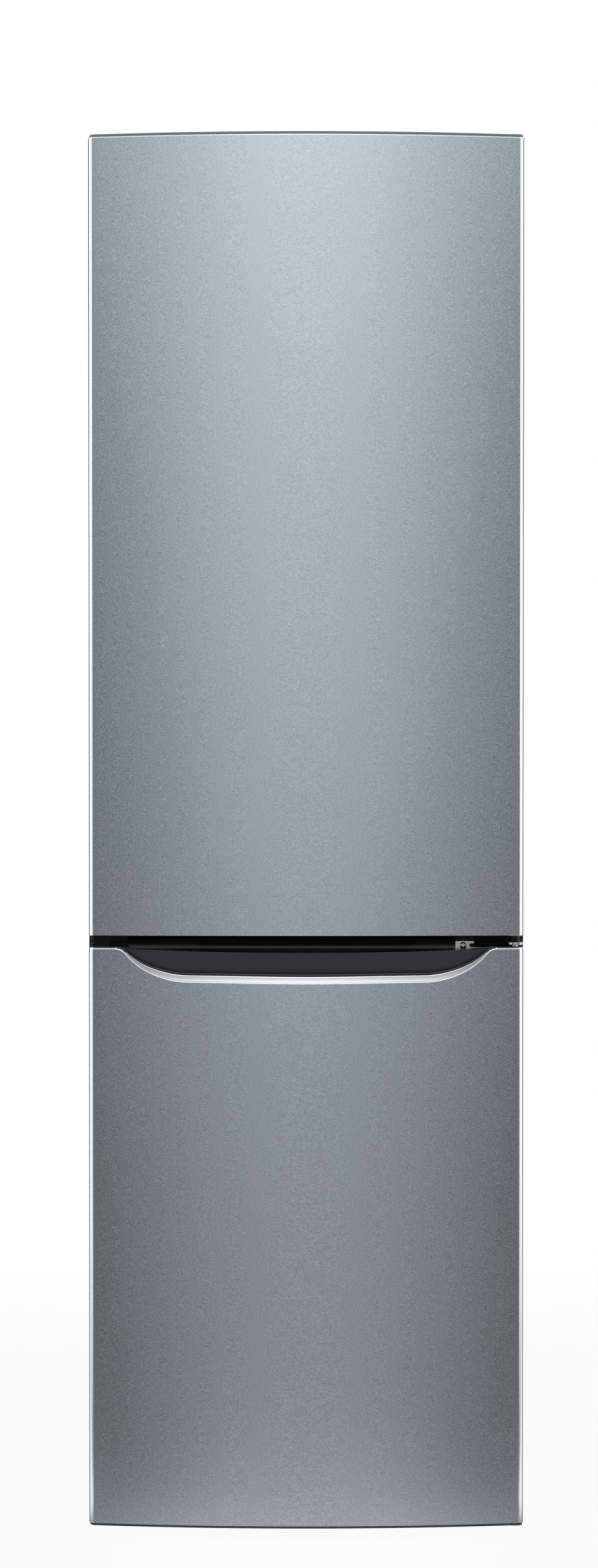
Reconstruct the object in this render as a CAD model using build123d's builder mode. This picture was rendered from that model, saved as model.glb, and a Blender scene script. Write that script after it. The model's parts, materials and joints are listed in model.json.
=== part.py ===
from build123d import *
import os
from math import cos, radians, sin, sqrt

# A tall fridge freezer: fridge above, freezer below, both doors hung on the right.
# Millimetres. The front faces -Y, the hinge side is +X, and it stands on Z = 0.

# Overall sizes
cabinet_width = 595.0
overall_depth = 671.0
door_side_gap = 3.5
freezer_door_height = 783.0
fridge_door_height = 1080.0
door_gap = 16.5
door_floor_gap = 14.0

# Door build
door_bow = 20.0
door_side_depth = 46.0
door_edge_radius = 8.0
door_sheet = 1.0
door_liner_wall = 2.0
cap_lip = 3.3
cap_depth = 14.0
cap_rim = 2.5
grip_half_width = 150.0
grip_height = 20.0

# Hand scoop in the top of the freezer door
scoop_inset = 37.0
scoop_depth = 38.5
scoop_shoulder_radius = 18.5
scoop_angle = 43.0
trim_height = 9.0
trim_angle = 50.0
trim_depth = 5.0
lip_thickness = 9.0
pocket_drop = 22.0
pocket_angle = 58.0
pocket_wall = 2.5
pocket_setback = 16.0
deck_drop = 6.0
deck_shoulder = 17.0

# Door liners, gaskets and bins
dyke_depth = 61.0
dyke_width = 21.0
dyke_side_gap = 7.5
dyke_end_inset = 40.0
dyke_floor_inset = 20.0
plateau_depth = 13.0
gasket_depth = 11.0
gasket_width = 20.0
gasket_side_inset = 16.0
gasket_gap_inset = 8.0
gasket_top_inset = 12.0
gasket_floor_inset = 30.0
bin_depth = 104.0
bin_wall = 2.5
bin_corner = 10.0
bin_heights = (110.0, 80.0, 80.0)
bin_levels = (70.0, 400.0, 720.0)
bin_boss = 6.0
bin_boss_length = 24.0
bin_boss_setback = 26.0

# Hinges
hinge_inset = 10.0
hinge_setback = 24.0
pin_radius = 4.0
pin_length = 14.0
bush_radius = 6.5
bush_flange_radius = 9.0
bush_flange = 1.2
boss_wall = 2.0
hinge_plate = 2.5
hinge_flange = 3.0
middle_plate = 4.0
middle_plate_rise = 4.5
collar_radius = 6.0
hinge_arm_width = 20.0
hinge_corner = 6.5
hinge_leaf_width = 88.0
hinge_leaf_depth = 60.0
slot_half_height = 3.2
slot_length = 20.0
slot_offset = 22.0
screw_radius = 4.5
screw_head = 1.5
screw_drive = 1.2
screw_drive_depth = 0.8
screw_inset = 9.0
screw_rise = 3.0
cover_wall = 1.5
cover_margin = 6.0
cover_corner = 3.0
plug_width = 50.0
plug_corner = 1.5

# Cabinet shell and insulation
cabinet_floor_gap = 24.0
shell_sheet = 1.0
liner_wall = 2.0
side_wall = 52.0
top_wall = 55.0
floor_wall = 62.0
back_wall = 62.0
mullion_half_height = 40.0
liner_radius = 18.0
rear_cover_depth = 8.0

# Machine room at the bottom rear
bay_depth = 235.0
bay_height = 225.0
tray_sheet = 1.5
tray_lip = 14.0
bay_wall = 46.0
compressor_radius = 72.0
compressor_height = 150.0
compressor_crown = 36.0
compressor_inset = 187.5
compressor_plate = 3.0
mount_radius = 11.0
mount_height = 14.0
mount_bolt_radius = 3.0
mount_spread_x = 160.0
mount_spread_y = 110.0
stub_radius = 4.0
stub_length = 26.0
coil_radius = 3.2
coil_bend = 12.0
coil_passes = 6
coil_width = 170.0
coil_pitch = 26.0
coil_inset = 47.5
coil_start_z = 34.0
coil_gap = 70.0
vent_length = 60.0
vent_height = 5.0
vent_columns = 6
vent_rows = 6
vent_pitch_x = 82.0
vent_pitch_z = 26.0
cover_floor_gap = 4.0
gland_radius = 8.0
gland_flange_radius = 12.0
gland_flange = 3.0
gland_bore = 4.0
gland_inset = 77.5
gland_rise = 45.0

# Feet and rollers
foot_radius = 20.0
foot_height = 9.0
foot_chamfer = 2.0
foot_stem_radius = 5.0
foot_stem_length = 16.0
foot_socket_wall = 4.0
foot_inset_x = 62.0
foot_setback = 60.0
roller_radius = 15.0
roller_width = 18.0
roller_axle_radius = 3.0
roller_inset_x = 75.0
roller_inset_y = 48.0
cheek_thickness = 3.0
cheek_half_depth = 9.0
cheek_drop = 6.0
roller_window_margin = 3.0

# Shelves, drawers and crispers
ledge_width = 9.0
ledge_height = 8.0
glass_thickness = 4.0
shelf_setback = 108.0
shelf_rear_gap = 4.0
shelf_levels = (440.0, 640.0, 820.0)
shelf_trim_depth = 9.0
shelf_trim_height = 11.0
shelf_trim_drop = 3.5
shelf_trim_corner = 3.0
crisper_height = 186.0
crisper_front_gap = 2.0
crisper_side_gap = 9.0
crisper_middle_gap = 6.0
drawer_wall = 2.5
drawer_corner = 14.0
drawer_setback = 23.5
drawer_side_gap = 20.5
drawer_rear_gap = 8.0
drawer_rail_width = 28.0
drawer_gap = 14.0
drawer_floor_gap = 12.0
handle_slot_length = 130.0
handle_slot_height = 22.0
handle_slot_drop = 30.0
handle_slot_reach = 7.0

# Cold-air parts
cover_panel = 3.0
evaporator_space = 62.0
fan_radius = 50.0
fan_opening_radius = 54.0
fan_collar_wall = 3.0
fan_collar_depth = 19.0
fan_depth = 13.0
fan_front_gap = 1.5
fan_drop = 80.0
fan_blades = 5
fan_hub_radius = 16.0
fan_blade_width = 30.0
fan_blade_thickness = 1.8
fan_blade_angle = 32.0
motor_radius = 20.0
motor_length = 22.0
motor_arm_width = 8.0
motor_arm_depth = 4.0
motor_arms = 3
shaft_radius = 2.0
louvre_length = 150.0
louvre_height = 8.0
louvre_pitch = 60.0
louvre_rows = 4
fin_count = 24
fin_thickness = 1.0
fin_pitch = 14.0
fin_depth = 40.0
fin_height = 190.0
fin_floor_gap = 30.0
tube_rows = 6
tube_columns = 2
tube_radius = 4.5
duct_half_width = 80.0
duct_depth = 22.0
duct_wall = 2.0
duct_corner = 7.0
duct_floor_gap = 230.0
duct_top_gap = 90.0
duct_vent_length = 100.0
duct_vent_height = 8.0
duct_vent_rows = 6
duct_vent_pitch = 105.0

# Lamp and controls
lamp_width = 180.0
lamp_length = 70.0
lamp_depth = 9.0
lamp_corner = 3.0
lamp_setback = 225.0
panel_width = 200.0
panel_length = 60.0
panel_depth = 18.0
panel_corner = 3.0
panel_setback = 130.0
button_radius = 6.0
button_length = 9.0
button_proud = 2.0
button_corner = 0.6
button_pitch = 60.0
button_travel = 1.2

# Clearances
running_gap = 0.3
pin_gap = 0.06
button_gap = 0.15
wheel_gap = 0.5
hinge_gap = 1.0
shelf_gap = 1.0

# Places worked out from the sizes
half_width = cabinet_width / 2
door_half = half_width - door_side_gap
front_y = -overall_depth / 2
door_edge_y = front_y + door_bow
door_back_y = door_edge_y + door_side_depth
door_liner_y = door_back_y - door_liner_wall
cabinet_front_y = door_back_y + gasket_depth
cabinet_back_y = overall_depth / 2 - rear_cover_depth
freezer_bottom_z = door_floor_gap
freezer_top_z = freezer_bottom_z + freezer_door_height
fridge_bottom_z = freezer_top_z + door_gap
fridge_top_z = fridge_bottom_z + fridge_door_height
cabinet_bottom_z = cabinet_floor_gap
cabinet_top_z = fridge_top_z + hinge_gap
gap_middle_z = freezer_top_z + door_gap / 2
hinge_x = door_half - hinge_inset
hinge_y = door_edge_y + hinge_setback
bow_radius = (door_half**2 + door_bow**2) / (2 * door_bow)
bow_centre_y = front_y + bow_radius
pocket_back_y = door_edge_y + pocket_setback
scoop_half_width = door_half - scoop_inset
shell_inner_x = half_width - shell_sheet
foam_front_y = cabinet_front_y + shell_sheet
foam_back_y = cabinet_back_y - shell_sheet
foam_top_z = cabinet_top_z - shell_sheet
cavity_half = half_width - side_wall
cavity_back_y = cabinet_back_y - back_wall
fridge_floor_z = gap_middle_z + mullion_half_height
fridge_ceiling_z = cabinet_top_z - top_wall
freezer_floor_z = cabinet_bottom_z + floor_wall
freezer_ceiling_z = gap_middle_z - mullion_half_height
bay_front_y = cabinet_back_y - bay_depth
bay_top_z = cabinet_bottom_z + bay_height
step_y = bay_front_y - tray_sheet - bay_wall
step_z = bay_top_z + tray_sheet + bay_wall
evaporator_cover_y = cavity_back_y - evaporator_space
dyke_half = cavity_half - dyke_side_gap
dyke_inner_half = dyke_half - dyke_width
shelf_front_y = cabinet_front_y + shelf_setback
duct_front_y = cavity_back_y - duct_depth
shelf_back_y = duct_front_y - shelf_rear_gap
drawer_front_y = cabinet_front_y + drawer_setback
crisper_cover_z = fridge_floor_z + crisper_height + drawer_gap
gasket_freezer_top_z = freezer_top_z - gasket_gap_inset
gasket_fridge_bottom_z = fridge_bottom_z + gasket_gap_inset

os.makedirs("parts", exist_ok=True)


def save(piece, name):
    """Label a finished piece and write it under its node name."""
    piece.part.label = name
    export_step(piece.part, f"parts/{name}.step")


def block(x0, x1, y0, y1, z0, z1, mode=Mode.ADD):
    """A box between two corners, in the part being built."""
    with Locations(((x0 + x1) / 2, (y0 + y1) / 2, (z0 + z1) / 2)):
        Box(x1 - x0, y1 - y0, z1 - z0, mode=mode)


def post(x, y, z0, z1, radius, mode=Mode.ADD):
    """An upright cylinder between two heights."""
    with Locations((x, y, (z0 + z1) / 2)):
        Cylinder(radius, z1 - z0, mode=mode)


def rod_along_y(x, z, y0, y1, radius, mode=Mode.ADD):
    """A cylinder lying front to back."""
    with Locations(Location((x, (y0 + y1) / 2, z), (90, 0, 0))):
        Cylinder(radius, y1 - y0, mode=mode)


def rod_along_x(y, z, x0, x1, radius, mode=Mode.ADD):
    """A cylinder lying side to side."""
    with Locations(Location(((x0 + x1) / 2, y, z), (0, 90, 0))):
        Cylinder(radius, x1 - x0, mode=mode)


def door_plan(inset, plan_half, back_y, corner):
    """Plan of a door: bowed front set back by inset, straight sides and back."""
    radius = bow_radius - inset
    side_y = bow_centre_y - sqrt(radius**2 - plan_half**2)
    with BuildSketch() as plan:
        with BuildLine():
            ThreePointArc((-plan_half, side_y), (0, front_y + inset), (plan_half, side_y))
            Polyline((plan_half, side_y), (plan_half, back_y), (-plan_half, back_y), (-plan_half, side_y))
        make_face()
        if corner > 0:
            fillet(plan.vertices().group_by(Axis.Y)[0], corner)
    return plan.sketch


def prism(plan, z0, z1, mode=Mode.ADD):
    """Raise a plan outline between two heights."""
    extrude(plan.moved(Location((0, 0, z0))), amount=z1 - z0, dir=(0, 0, 1), mode=mode)


def scoop_face(depth, angle, outline_half):
    """Front view of the hand scoop, open above the top of the freezer door."""
    shoulder = radians(scoop_angle)
    bend = radians(angle)
    tip_x = outline_half - scoop_shoulder_radius * sin(shoulder)
    tip_drop = scoop_shoulder_radius * (1 - cos(shoulder))
    bend_radius = (depth - tip_drop) / (1 - cos(bend))
    flat_half = tip_x - bend_radius * sin(bend)
    floor_z = freezer_top_z - depth
    above_z = freezer_top_z + door_gap
    with BuildSketch(Plane.XZ) as face:
        with BuildLine():
            Line((0, floor_z), (flat_half, floor_z))
            CenterArc((flat_half, floor_z + bend_radius), bend_radius, -90, angle)
            CenterArc(
                (outline_half, freezer_top_z - scoop_shoulder_radius),
                scoop_shoulder_radius,
                90 + scoop_angle,
                -scoop_angle,
            )
            Polyline((outline_half, freezer_top_z), (outline_half, above_z), (0, above_z))
            mirror(about=Plane.YZ)
        make_face()
    return face.sketch


def through(face, mode):
    """Push a front-view outline right through the depth of the object."""
    extrude(face, amount=overall_depth, both=True, mode=mode)


# Plans and outlines shared by the two doors
outer_plan = door_plan(0, door_half, door_back_y, door_edge_radius)
hollow_plan = door_plan(door_sheet, door_half - door_sheet, door_back_y, door_edge_radius - door_sheet)
inner_plan = door_plan(door_sheet, door_half - door_sheet, door_liner_y, door_edge_radius - door_sheet)
rim_plan = door_plan(
    door_sheet + cap_rim, door_half - door_sheet - cap_rim, door_liner_y - cap_rim, 0
)
grip_plan = door_plan(lip_thickness, grip_half_width, pocket_back_y, 0)
grip_shell_plan = door_plan(
    lip_thickness - pocket_wall, grip_half_width + pocket_wall, pocket_back_y + pocket_wall, 0
)
scoop_opening = scoop_face(scoop_depth, scoop_angle, scoop_half_width)
scoop_skin_cut = scoop_face(scoop_depth + trim_height, trim_angle, scoop_half_width)
pocket_inside = scoop_face(scoop_depth + pocket_drop, pocket_angle, scoop_half_width)
pocket_outside = scoop_face(
    scoop_depth + pocket_drop + pocket_wall, pocket_angle, scoop_half_width + pocket_wall
)
deck_half = scoop_half_width - deck_shoulder
deck_z = freezer_top_z - deck_drop
deck_bottom_z = deck_z - cap_lip
bush_boss_radius = bush_radius + boss_wall

# Hand pocket volumes of the freezer door: the space, its shell and the bright trim
pocket_span = scoop_half_width + pocket_wall
pocket_low_z = freezer_top_z - scoop_depth - pocket_drop - pocket_wall
with BuildPart() as pocket_space:
    prism(
        door_plan(lip_thickness, pocket_span, pocket_back_y, 0), pocket_low_z, freezer_top_z + door_gap
    )
    through(pocket_inside, Mode.INTERSECT)

with BuildPart() as pocket_shell:
    prism(
        door_plan(door_sheet, pocket_span, pocket_back_y + pocket_wall, 0), pocket_low_z, freezer_top_z
    )
    through(pocket_outside, Mode.INTERSECT)

with BuildPart() as front_opening:
    prism(
        door_plan(0, pocket_span, pocket_back_y, 0), pocket_low_z, freezer_top_z + door_gap
    )
    through(scoop_opening, Mode.INTERSECT)

with BuildPart() as handle_trim:
    prism(door_plan(0, pocket_span, pocket_back_y, 0), pocket_low_z, freezer_top_z)
    prism(door_plan(trim_depth, pocket_span, pocket_back_y, 0), pocket_low_z, freezer_top_z, Mode.SUBTRACT)
    through(scoop_skin_cut, Mode.INTERSECT)
    through(scoop_opening, Mode.SUBTRACT)
save(handle_trim, "freezer_handle_trim")


# Door skins: a bowed front sheet with two side returns
with BuildPart() as freezer_door_skin:
    prism(outer_plan, freezer_bottom_z + cap_lip, freezer_top_z - cap_lip)
    prism(hollow_plan, freezer_bottom_z + cap_lip, freezer_top_z - cap_lip, Mode.SUBTRACT)
    through(scoop_skin_cut, Mode.SUBTRACT)
save(freezer_door_skin, "freezer_door_skin")

with BuildPart() as fridge_door_skin:
    prism(outer_plan, fridge_bottom_z + cap_lip, fridge_top_z - cap_lip)
    prism(hollow_plan, fridge_bottom_z + cap_lip, fridge_top_z - cap_lip, Mode.SUBTRACT)
save(fridge_door_skin, "fridge_door_skin")


def end_cap(plate_z0, plate_z1, rim_z0, rim_z1):
    """Plate, rim and bush boss of a door's end cap, in the part being built."""
    prism(inner_plan, rim_z0, rim_z1)
    prism(rim_plan, rim_z0, rim_z1, Mode.SUBTRACT)
    post(hinge_x, hinge_y, rim_z0, rim_z1, bush_boss_radius)
    prism(outer_plan, plate_z0, plate_z1)
    post(hinge_x, hinge_y, min(plate_z0, rim_z0), max(plate_z1, rim_z1), bush_radius, Mode.SUBTRACT)


def low_cap(door_z):
    """End cap at the bottom of a door."""
    end_cap(door_z, door_z + cap_lip, door_z + cap_lip, door_z + cap_lip + cap_depth)


def high_cap(door_z):
    """End cap at the top of a door."""
    end_cap(door_z - cap_lip, door_z, door_z - cap_lip - cap_depth, door_z - cap_lip)


with BuildPart() as freezer_door_bottom_cap:
    low_cap(freezer_bottom_z)
save(freezer_door_bottom_cap, "freezer_door_bottom_cap")

with BuildPart() as fridge_door_top_cap:
    high_cap(fridge_top_z)
save(fridge_door_top_cap, "fridge_door_top_cap")

# The fridge door is pulled by a finger grip in its bottom cap
with BuildPart() as fridge_door_bottom_cap:
    low_cap(fridge_bottom_z)
    prism(grip_shell_plan, fridge_bottom_z, fridge_bottom_z + grip_height + pocket_wall)
    prism(grip_plan, fridge_bottom_z, fridge_bottom_z + grip_height, Mode.SUBTRACT)
save(fridge_door_bottom_cap, "fridge_door_bottom_cap")

# The freezer door's top cap holds the hand pocket, with a lowered deck behind it
with BuildPart() as freezer_door_top_cap:
    high_cap(freezer_top_z)
    add(pocket_shell.part)
    block(
        -deck_half - cap_rim, deck_half + cap_rim, pocket_back_y, door_back_y, deck_bottom_z, freezer_top_z
    )
    block(
        -door_half + door_sheet,
        door_half - door_sheet,
        door_liner_y,
        door_back_y,
        deck_bottom_z,
        freezer_top_z - cap_lip,
    )
    add(pocket_space.part, mode=Mode.SUBTRACT)
    add(front_opening.part, mode=Mode.SUBTRACT)
    block(-deck_half, deck_half, pocket_back_y, door_back_y, deck_z, freezer_top_z, Mode.SUBTRACT)
    add(handle_trim.part, mode=Mode.SUBTRACT)
save(freezer_door_top_cap, "freezer_door_top_cap")


def hinge_bush(z0, z1, flange_z0, flange_z1):
    """A bush in a door's end cap with a flange that bears on the hinge."""
    post(hinge_x, hinge_y, z0, z1, bush_radius)
    post(hinge_x, hinge_y, flange_z0, flange_z1, bush_flange_radius)
    post(hinge_x, hinge_y, min(z0, flange_z0), max(z1, flange_z1), pin_radius + pin_gap, Mode.SUBTRACT)


bush_length = cap_lip + cap_depth
with BuildPart() as freezer_door_bushes:
    hinge_bush(
        freezer_bottom_z, freezer_bottom_z + bush_length, freezer_bottom_z - bush_flange, freezer_bottom_z
    )
    post(hinge_x, hinge_y, freezer_top_z - bush_length, freezer_top_z, bush_radius)
    post(
        hinge_x, hinge_y, freezer_top_z - bush_length, freezer_top_z, pin_radius + pin_gap, Mode.SUBTRACT
    )
save(freezer_door_bushes, "freezer_door_bushes")

with BuildPart() as fridge_door_bushes:
    hinge_bush(
        fridge_bottom_z, fridge_bottom_z + bush_length, fridge_bottom_z - bush_flange, fridge_bottom_z
    )
    post(hinge_x, hinge_y, fridge_top_z - bush_length, fridge_top_z, bush_radius)
    post(hinge_x, hinge_y, fridge_top_z - bush_length, fridge_top_z, pin_radius + pin_gap, Mode.SUBTRACT)
save(fridge_door_bushes, "fridge_door_bushes")

# Raised walls of the door liners and the foam that fills them
dyke_z0 = fridge_floor_z + dyke_floor_inset
dyke_z1 = fridge_ceiling_z - dyke_end_inset
dyke_y = door_back_y + dyke_depth
plateau_z0 = freezer_floor_z + dyke_end_inset
plateau_z1 = freezer_ceiling_z - dyke_end_inset
plateau_y = door_back_y + plateau_depth


def dyke_ring(skin, back_y):
    """Raised frame on the fridge door liner, taken in by skin on every side."""
    low = dyke_z0 + dyke_width - skin
    high = dyke_z1 - dyke_width + skin
    inner = dyke_inner_half + skin
    block(-dyke_half + skin, dyke_half - skin, door_back_y, back_y, dyke_z0 + skin, dyke_z1 - skin)
    block(-inner, inner, door_back_y, back_y, low, high, Mode.SUBTRACT)


with BuildPart() as dyke_foam:
    dyke_ring(door_liner_wall, dyke_y - door_liner_wall)

with BuildPart() as fridge_door_liner:
    block(
        -door_half + door_sheet,
        door_half - door_sheet,
        door_liner_y,
        door_back_y,
        fridge_bottom_z + cap_lip,
        fridge_top_z - cap_lip,
    )
    dyke_ring(0, dyke_y)
    add(dyke_foam.part, mode=Mode.SUBTRACT)
    for level in bin_levels:
        for side in (-1, 1):
            with Locations(
                (
                    side * (dyke_inner_half - bin_boss / 2),
                    door_back_y + bin_boss_setback,
                    fridge_floor_z + level - bin_boss / 2,
                )
            ):
                Box(bin_boss, bin_boss_length, bin_boss)
save(fridge_door_liner, "fridge_door_liner")

with BuildPart() as freezer_door_liner:
    block(
        -door_half + door_sheet,
        door_half - door_sheet,
        door_liner_y,
        door_back_y,
        freezer_bottom_z + cap_lip,
        deck_bottom_z,
    )
    block(-dyke_half, dyke_half, door_back_y, plateau_y, plateau_z0, plateau_z1)
    block(
        -dyke_half + door_liner_wall,
        dyke_half - door_liner_wall,
        door_liner_y,
        plateau_y - door_liner_wall,
        plateau_z0 + door_liner_wall,
        plateau_z1 - door_liner_wall,
        Mode.SUBTRACT,
    )
save(freezer_door_liner, "freezer_door_liner")


def door_foam(z0, z1):
    """Foam between a door's two end caps, in the part being built."""
    prism(inner_plan, z0 + bush_length, z1 - bush_length)
    prism(rim_plan, z0 + cap_lip, z1 - cap_lip)
    post(hinge_x, hinge_y, z0, z0 + bush_length, bush_boss_radius, Mode.SUBTRACT)
    post(hinge_x, hinge_y, z1 - bush_length, z1, bush_boss_radius, Mode.SUBTRACT)


with BuildPart() as fridge_door_foam:
    door_foam(fridge_bottom_z, fridge_top_z)
    add(dyke_foam.part)
    prism(
        grip_shell_plan, fridge_bottom_z, fridge_bottom_z + grip_height + pocket_wall, Mode.SUBTRACT
    )
save(fridge_door_foam, "fridge_door_foam")

with BuildPart() as freezer_door_foam:
    door_foam(freezer_bottom_z, freezer_top_z)
    block(
        -dyke_half + door_liner_wall,
        dyke_half - door_liner_wall,
        door_liner_y,
        plateau_y - door_liner_wall,
        plateau_z0 + door_liner_wall,
        plateau_z1 - door_liner_wall,
    )
    add(pocket_shell.part, mode=Mode.SUBTRACT)
    add(front_opening.part, mode=Mode.SUBTRACT)
    add(handle_trim.part, mode=Mode.SUBTRACT)
    block(
        -deck_half - cap_rim,
        deck_half + cap_rim,
        pocket_back_y,
        door_back_y,
        deck_bottom_z,
        freezer_top_z,
        Mode.SUBTRACT,
    )
save(freezer_door_foam, "freezer_door_foam")


def door_gasket(z0, z1, name):
    """Flexible seal round the back of a door."""
    outer_half = door_half - gasket_side_inset
    inner = outer_half - gasket_width
    with BuildPart() as gasket:
        block(-outer_half, outer_half, door_back_y, cabinet_front_y - running_gap, z0, z1)
        block(
            -inner, inner, door_back_y, cabinet_front_y, z0 + gasket_width, z1 - gasket_width, Mode.SUBTRACT
        )
    save(gasket, name)


door_gasket(gasket_fridge_bottom_z, fridge_top_z - gasket_top_inset, "fridge_door_gasket")
door_gasket(freezer_bottom_z + gasket_floor_inset, gasket_freezer_top_z, "freezer_door_gasket")


def door_bin(level, height, name):
    """An open bin that stands on the bosses of the fridge door liner."""
    bin_half = dyke_inner_half - running_gap
    z0 = fridge_floor_z + level + running_gap
    y0 = door_back_y + running_gap
    with BuildPart() as bin_tray:
        block(-bin_half, bin_half, y0, y0 + bin_depth, z0, z0 + height)
        fillet(bin_tray.edges().filter_by(Axis.Z), bin_corner)
        offset(amount=-bin_wall, openings=bin_tray.faces().sort_by(Axis.Z)[-1])
    save(bin_tray, name)


bin_names = ("door_bin_low", "door_bin_middle", "door_bin_high")
for bin_level, bin_height, bin_name in zip(bin_levels, bin_heights, bin_names):
    door_bin(bin_level, bin_height, bin_name)


# Cabinet shell: two sides and a top, turned in at the front
liner_outer_half = cavity_half + liner_wall
with BuildPart() as cabinet_shell:
    block(-half_width, half_width, cabinet_front_y, cabinet_back_y, cabinet_bottom_z, cabinet_top_z)
    block(
        -shell_inner_x,
        shell_inner_x,
        foam_front_y,
        cabinet_back_y,
        cabinet_bottom_z,
        foam_top_z,
        Mode.SUBTRACT,
    )
    block(
        -liner_outer_half,
        liner_outer_half,
        cabinet_front_y,
        foam_front_y,
        cabinet_bottom_z,
        fridge_ceiling_z + liner_wall,
        Mode.SUBTRACT,
    )
save(cabinet_shell, "cabinet_shell")

gland_x = -half_width + gland_inset
gland_z = bay_top_z + gland_rise
with BuildPart() as back_panel:
    block(-shell_inner_x, shell_inner_x, foam_back_y, cabinet_back_y, bay_top_z, foam_top_z)
    rod_along_y(gland_x, gland_z, foam_back_y, cabinet_back_y, gland_radius, Mode.SUBTRACT)
save(back_panel, "back_panel")

with BuildPart() as cord_gland:
    rod_along_y(gland_x, gland_z, foam_back_y, cabinet_back_y, gland_radius)
    rod_along_y(gland_x, gland_z, cabinet_back_y, cabinet_back_y + gland_flange, gland_flange_radius)
    rod_along_y(gland_x, gland_z, cabinet_back_y, cabinet_back_y + gland_flange, gland_bore, Mode.SUBTRACT)
save(cord_gland, "cord_gland")

with BuildPart() as mullion_strip:
    block(
        -liner_outer_half,
        liner_outer_half,
        cabinet_front_y,
        foam_front_y,
        freezer_ceiling_z + liner_wall,
        fridge_floor_z - liner_wall,
    )
save(mullion_strip, "mullion_strip")

# Base tray: floor, front sill, rear lip, foot sockets and roller brackets
foot_x = half_width - foot_inset_x
foot_y = cabinet_front_y + foot_setback
socket_radius = foot_stem_radius + foot_socket_wall
stem_top_z = cabinet_bottom_z + foot_stem_length - running_gap
socket_top_z = cabinet_bottom_z + foot_stem_length + foot_socket_wall
roller_x = half_width - roller_inset_x
roller_y = cabinet_back_y - roller_inset_y
floor_top_z = cabinet_bottom_z + tray_sheet
with BuildPart() as base_tray:
    block(-shell_inner_x, shell_inner_x, foam_front_y, foam_back_y, cabinet_bottom_z, floor_top_z)
    block(
        -liner_outer_half,
        liner_outer_half,
        cabinet_front_y,
        foam_front_y,
        cabinet_bottom_z,
        freezer_floor_z - liner_wall,
    )
    block(
        -shell_inner_x,
        shell_inner_x,
        foam_back_y - tray_sheet,
        foam_back_y,
        floor_top_z,
        floor_top_z + tray_lip,
    )
    for side in (-1, 1):
        post(side * foot_x, foot_y, cabinet_bottom_z, socket_top_z, socket_radius)
        post(
            side * foot_x,
            foot_y,
            cabinet_bottom_z,
            socket_top_z - foot_socket_wall,
            foot_stem_radius + pin_gap,
            Mode.SUBTRACT,
        )
        window = roller_width / 2 + wheel_gap
        block(
            side * roller_x - window,
            side * roller_x + window,
            roller_y - roller_radius - roller_window_margin,
            roller_y + roller_radius + roller_window_margin,
            cabinet_bottom_z,
            floor_top_z,
            Mode.SUBTRACT,
        )
        for cheek in (-1, 1):
            inner_x = side * roller_x + cheek * window
            outer_x = inner_x + cheek * cheek_thickness
            block(
                min(inner_x, outer_x),
                max(inner_x, outer_x),
                roller_y - cheek_half_depth,
                roller_y + cheek_half_depth,
                roller_radius - cheek_drop,
                cabinet_bottom_z,
            )
        rod_along_x(
            roller_y, roller_radius, side * roller_x - window, side * roller_x + window, roller_axle_radius
        )
save(base_tray, "base_tray")

# One bent sheet walls off the machine room in front and above
with BuildPart() as machine_bulkhead:
    block(-shell_inner_x, shell_inner_x, bay_front_y - tray_sheet, bay_front_y, floor_top_z, bay_top_z)
    block(
        -shell_inner_x,
        shell_inner_x,
        bay_front_y - tray_sheet,
        foam_back_y,
        bay_top_z,
        bay_top_z + tray_sheet,
    )
save(machine_bulkhead, "machine_bulkhead")

for side, side_name in ((-1, "left"), (1, "right")):
    with BuildPart() as levelling_foot:
        post(side * foot_x, foot_y, 0, foot_height, foot_radius)
        chamfer(levelling_foot.edges().sort_by(Axis.Z)[-1], foot_chamfer)
        post(side * foot_x, foot_y, foot_height, stem_top_z, foot_stem_radius)
    save(levelling_foot, f"foot_{side_name}")

    with BuildPart() as roller:
        rod_along_x(
            roller_y,
            roller_radius,
            side * roller_x - roller_width / 2,
            side * roller_x + roller_width / 2,
            roller_radius,
        )
        rod_along_x(
            roller_y,
            roller_radius,
            side * roller_x - roller_width / 2,
            side * roller_x + roller_width / 2,
            roller_axle_radius + pin_gap,
            Mode.SUBTRACT,
        )
    save(roller, f"roller_{side_name}")


# Liners: tubs open at the front, with ledges for shelves and rails for drawers
def tub(skin, z0, z1):
    """A rounded tub volume grown by skin, reaching the cabinet front."""
    with BuildPart() as volume:
        block(
            -cavity_half - skin,
            cavity_half + skin,
            cabinet_front_y,
            cavity_back_y + skin,
            z0 - skin,
            z1 + skin,
        )
        rear = volume.faces().sort_by(Axis.Y)[-1]
        fillet(rear.edges(), liner_radius + skin)
    return volume.part


fridge_tub_outer = tub(liner_wall, fridge_floor_z, fridge_ceiling_z)
fridge_tub_inner = tub(0, fridge_floor_z, fridge_ceiling_z)
shelf_rests = [fridge_floor_z + level for level in shelf_levels] + [crisper_cover_z]
with BuildPart() as fridge_liner:
    add(fridge_tub_outer)
    add(fridge_tub_inner, mode=Mode.SUBTRACT)
    for rest_z in shelf_rests:
        for side in (-1, 1):
            with Locations(
                (
                    side * (cavity_half - ledge_width / 2),
                    (shelf_front_y + shelf_back_y) / 2,
                    rest_z - ledge_height / 2,
                )
            ):
                Box(ledge_width, shelf_back_y - shelf_front_y, ledge_height)
save(fridge_liner, "fridge_liner")


def freezer_tub(skin):
    """The freezer volume grown by skin, stepped over the machine room."""
    with BuildPart() as volume:
        block(
            -cavity_half - skin,
            cavity_half + skin,
            cabinet_front_y,
            cavity_back_y + skin,
            step_z - skin,
            freezer_ceiling_z + skin,
        )
        block(
            -cavity_half - skin,
            cavity_half + skin,
            cabinet_front_y,
            step_y + skin,
            freezer_floor_z - skin,
            step_z - skin,
        )
    return volume.part


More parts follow.
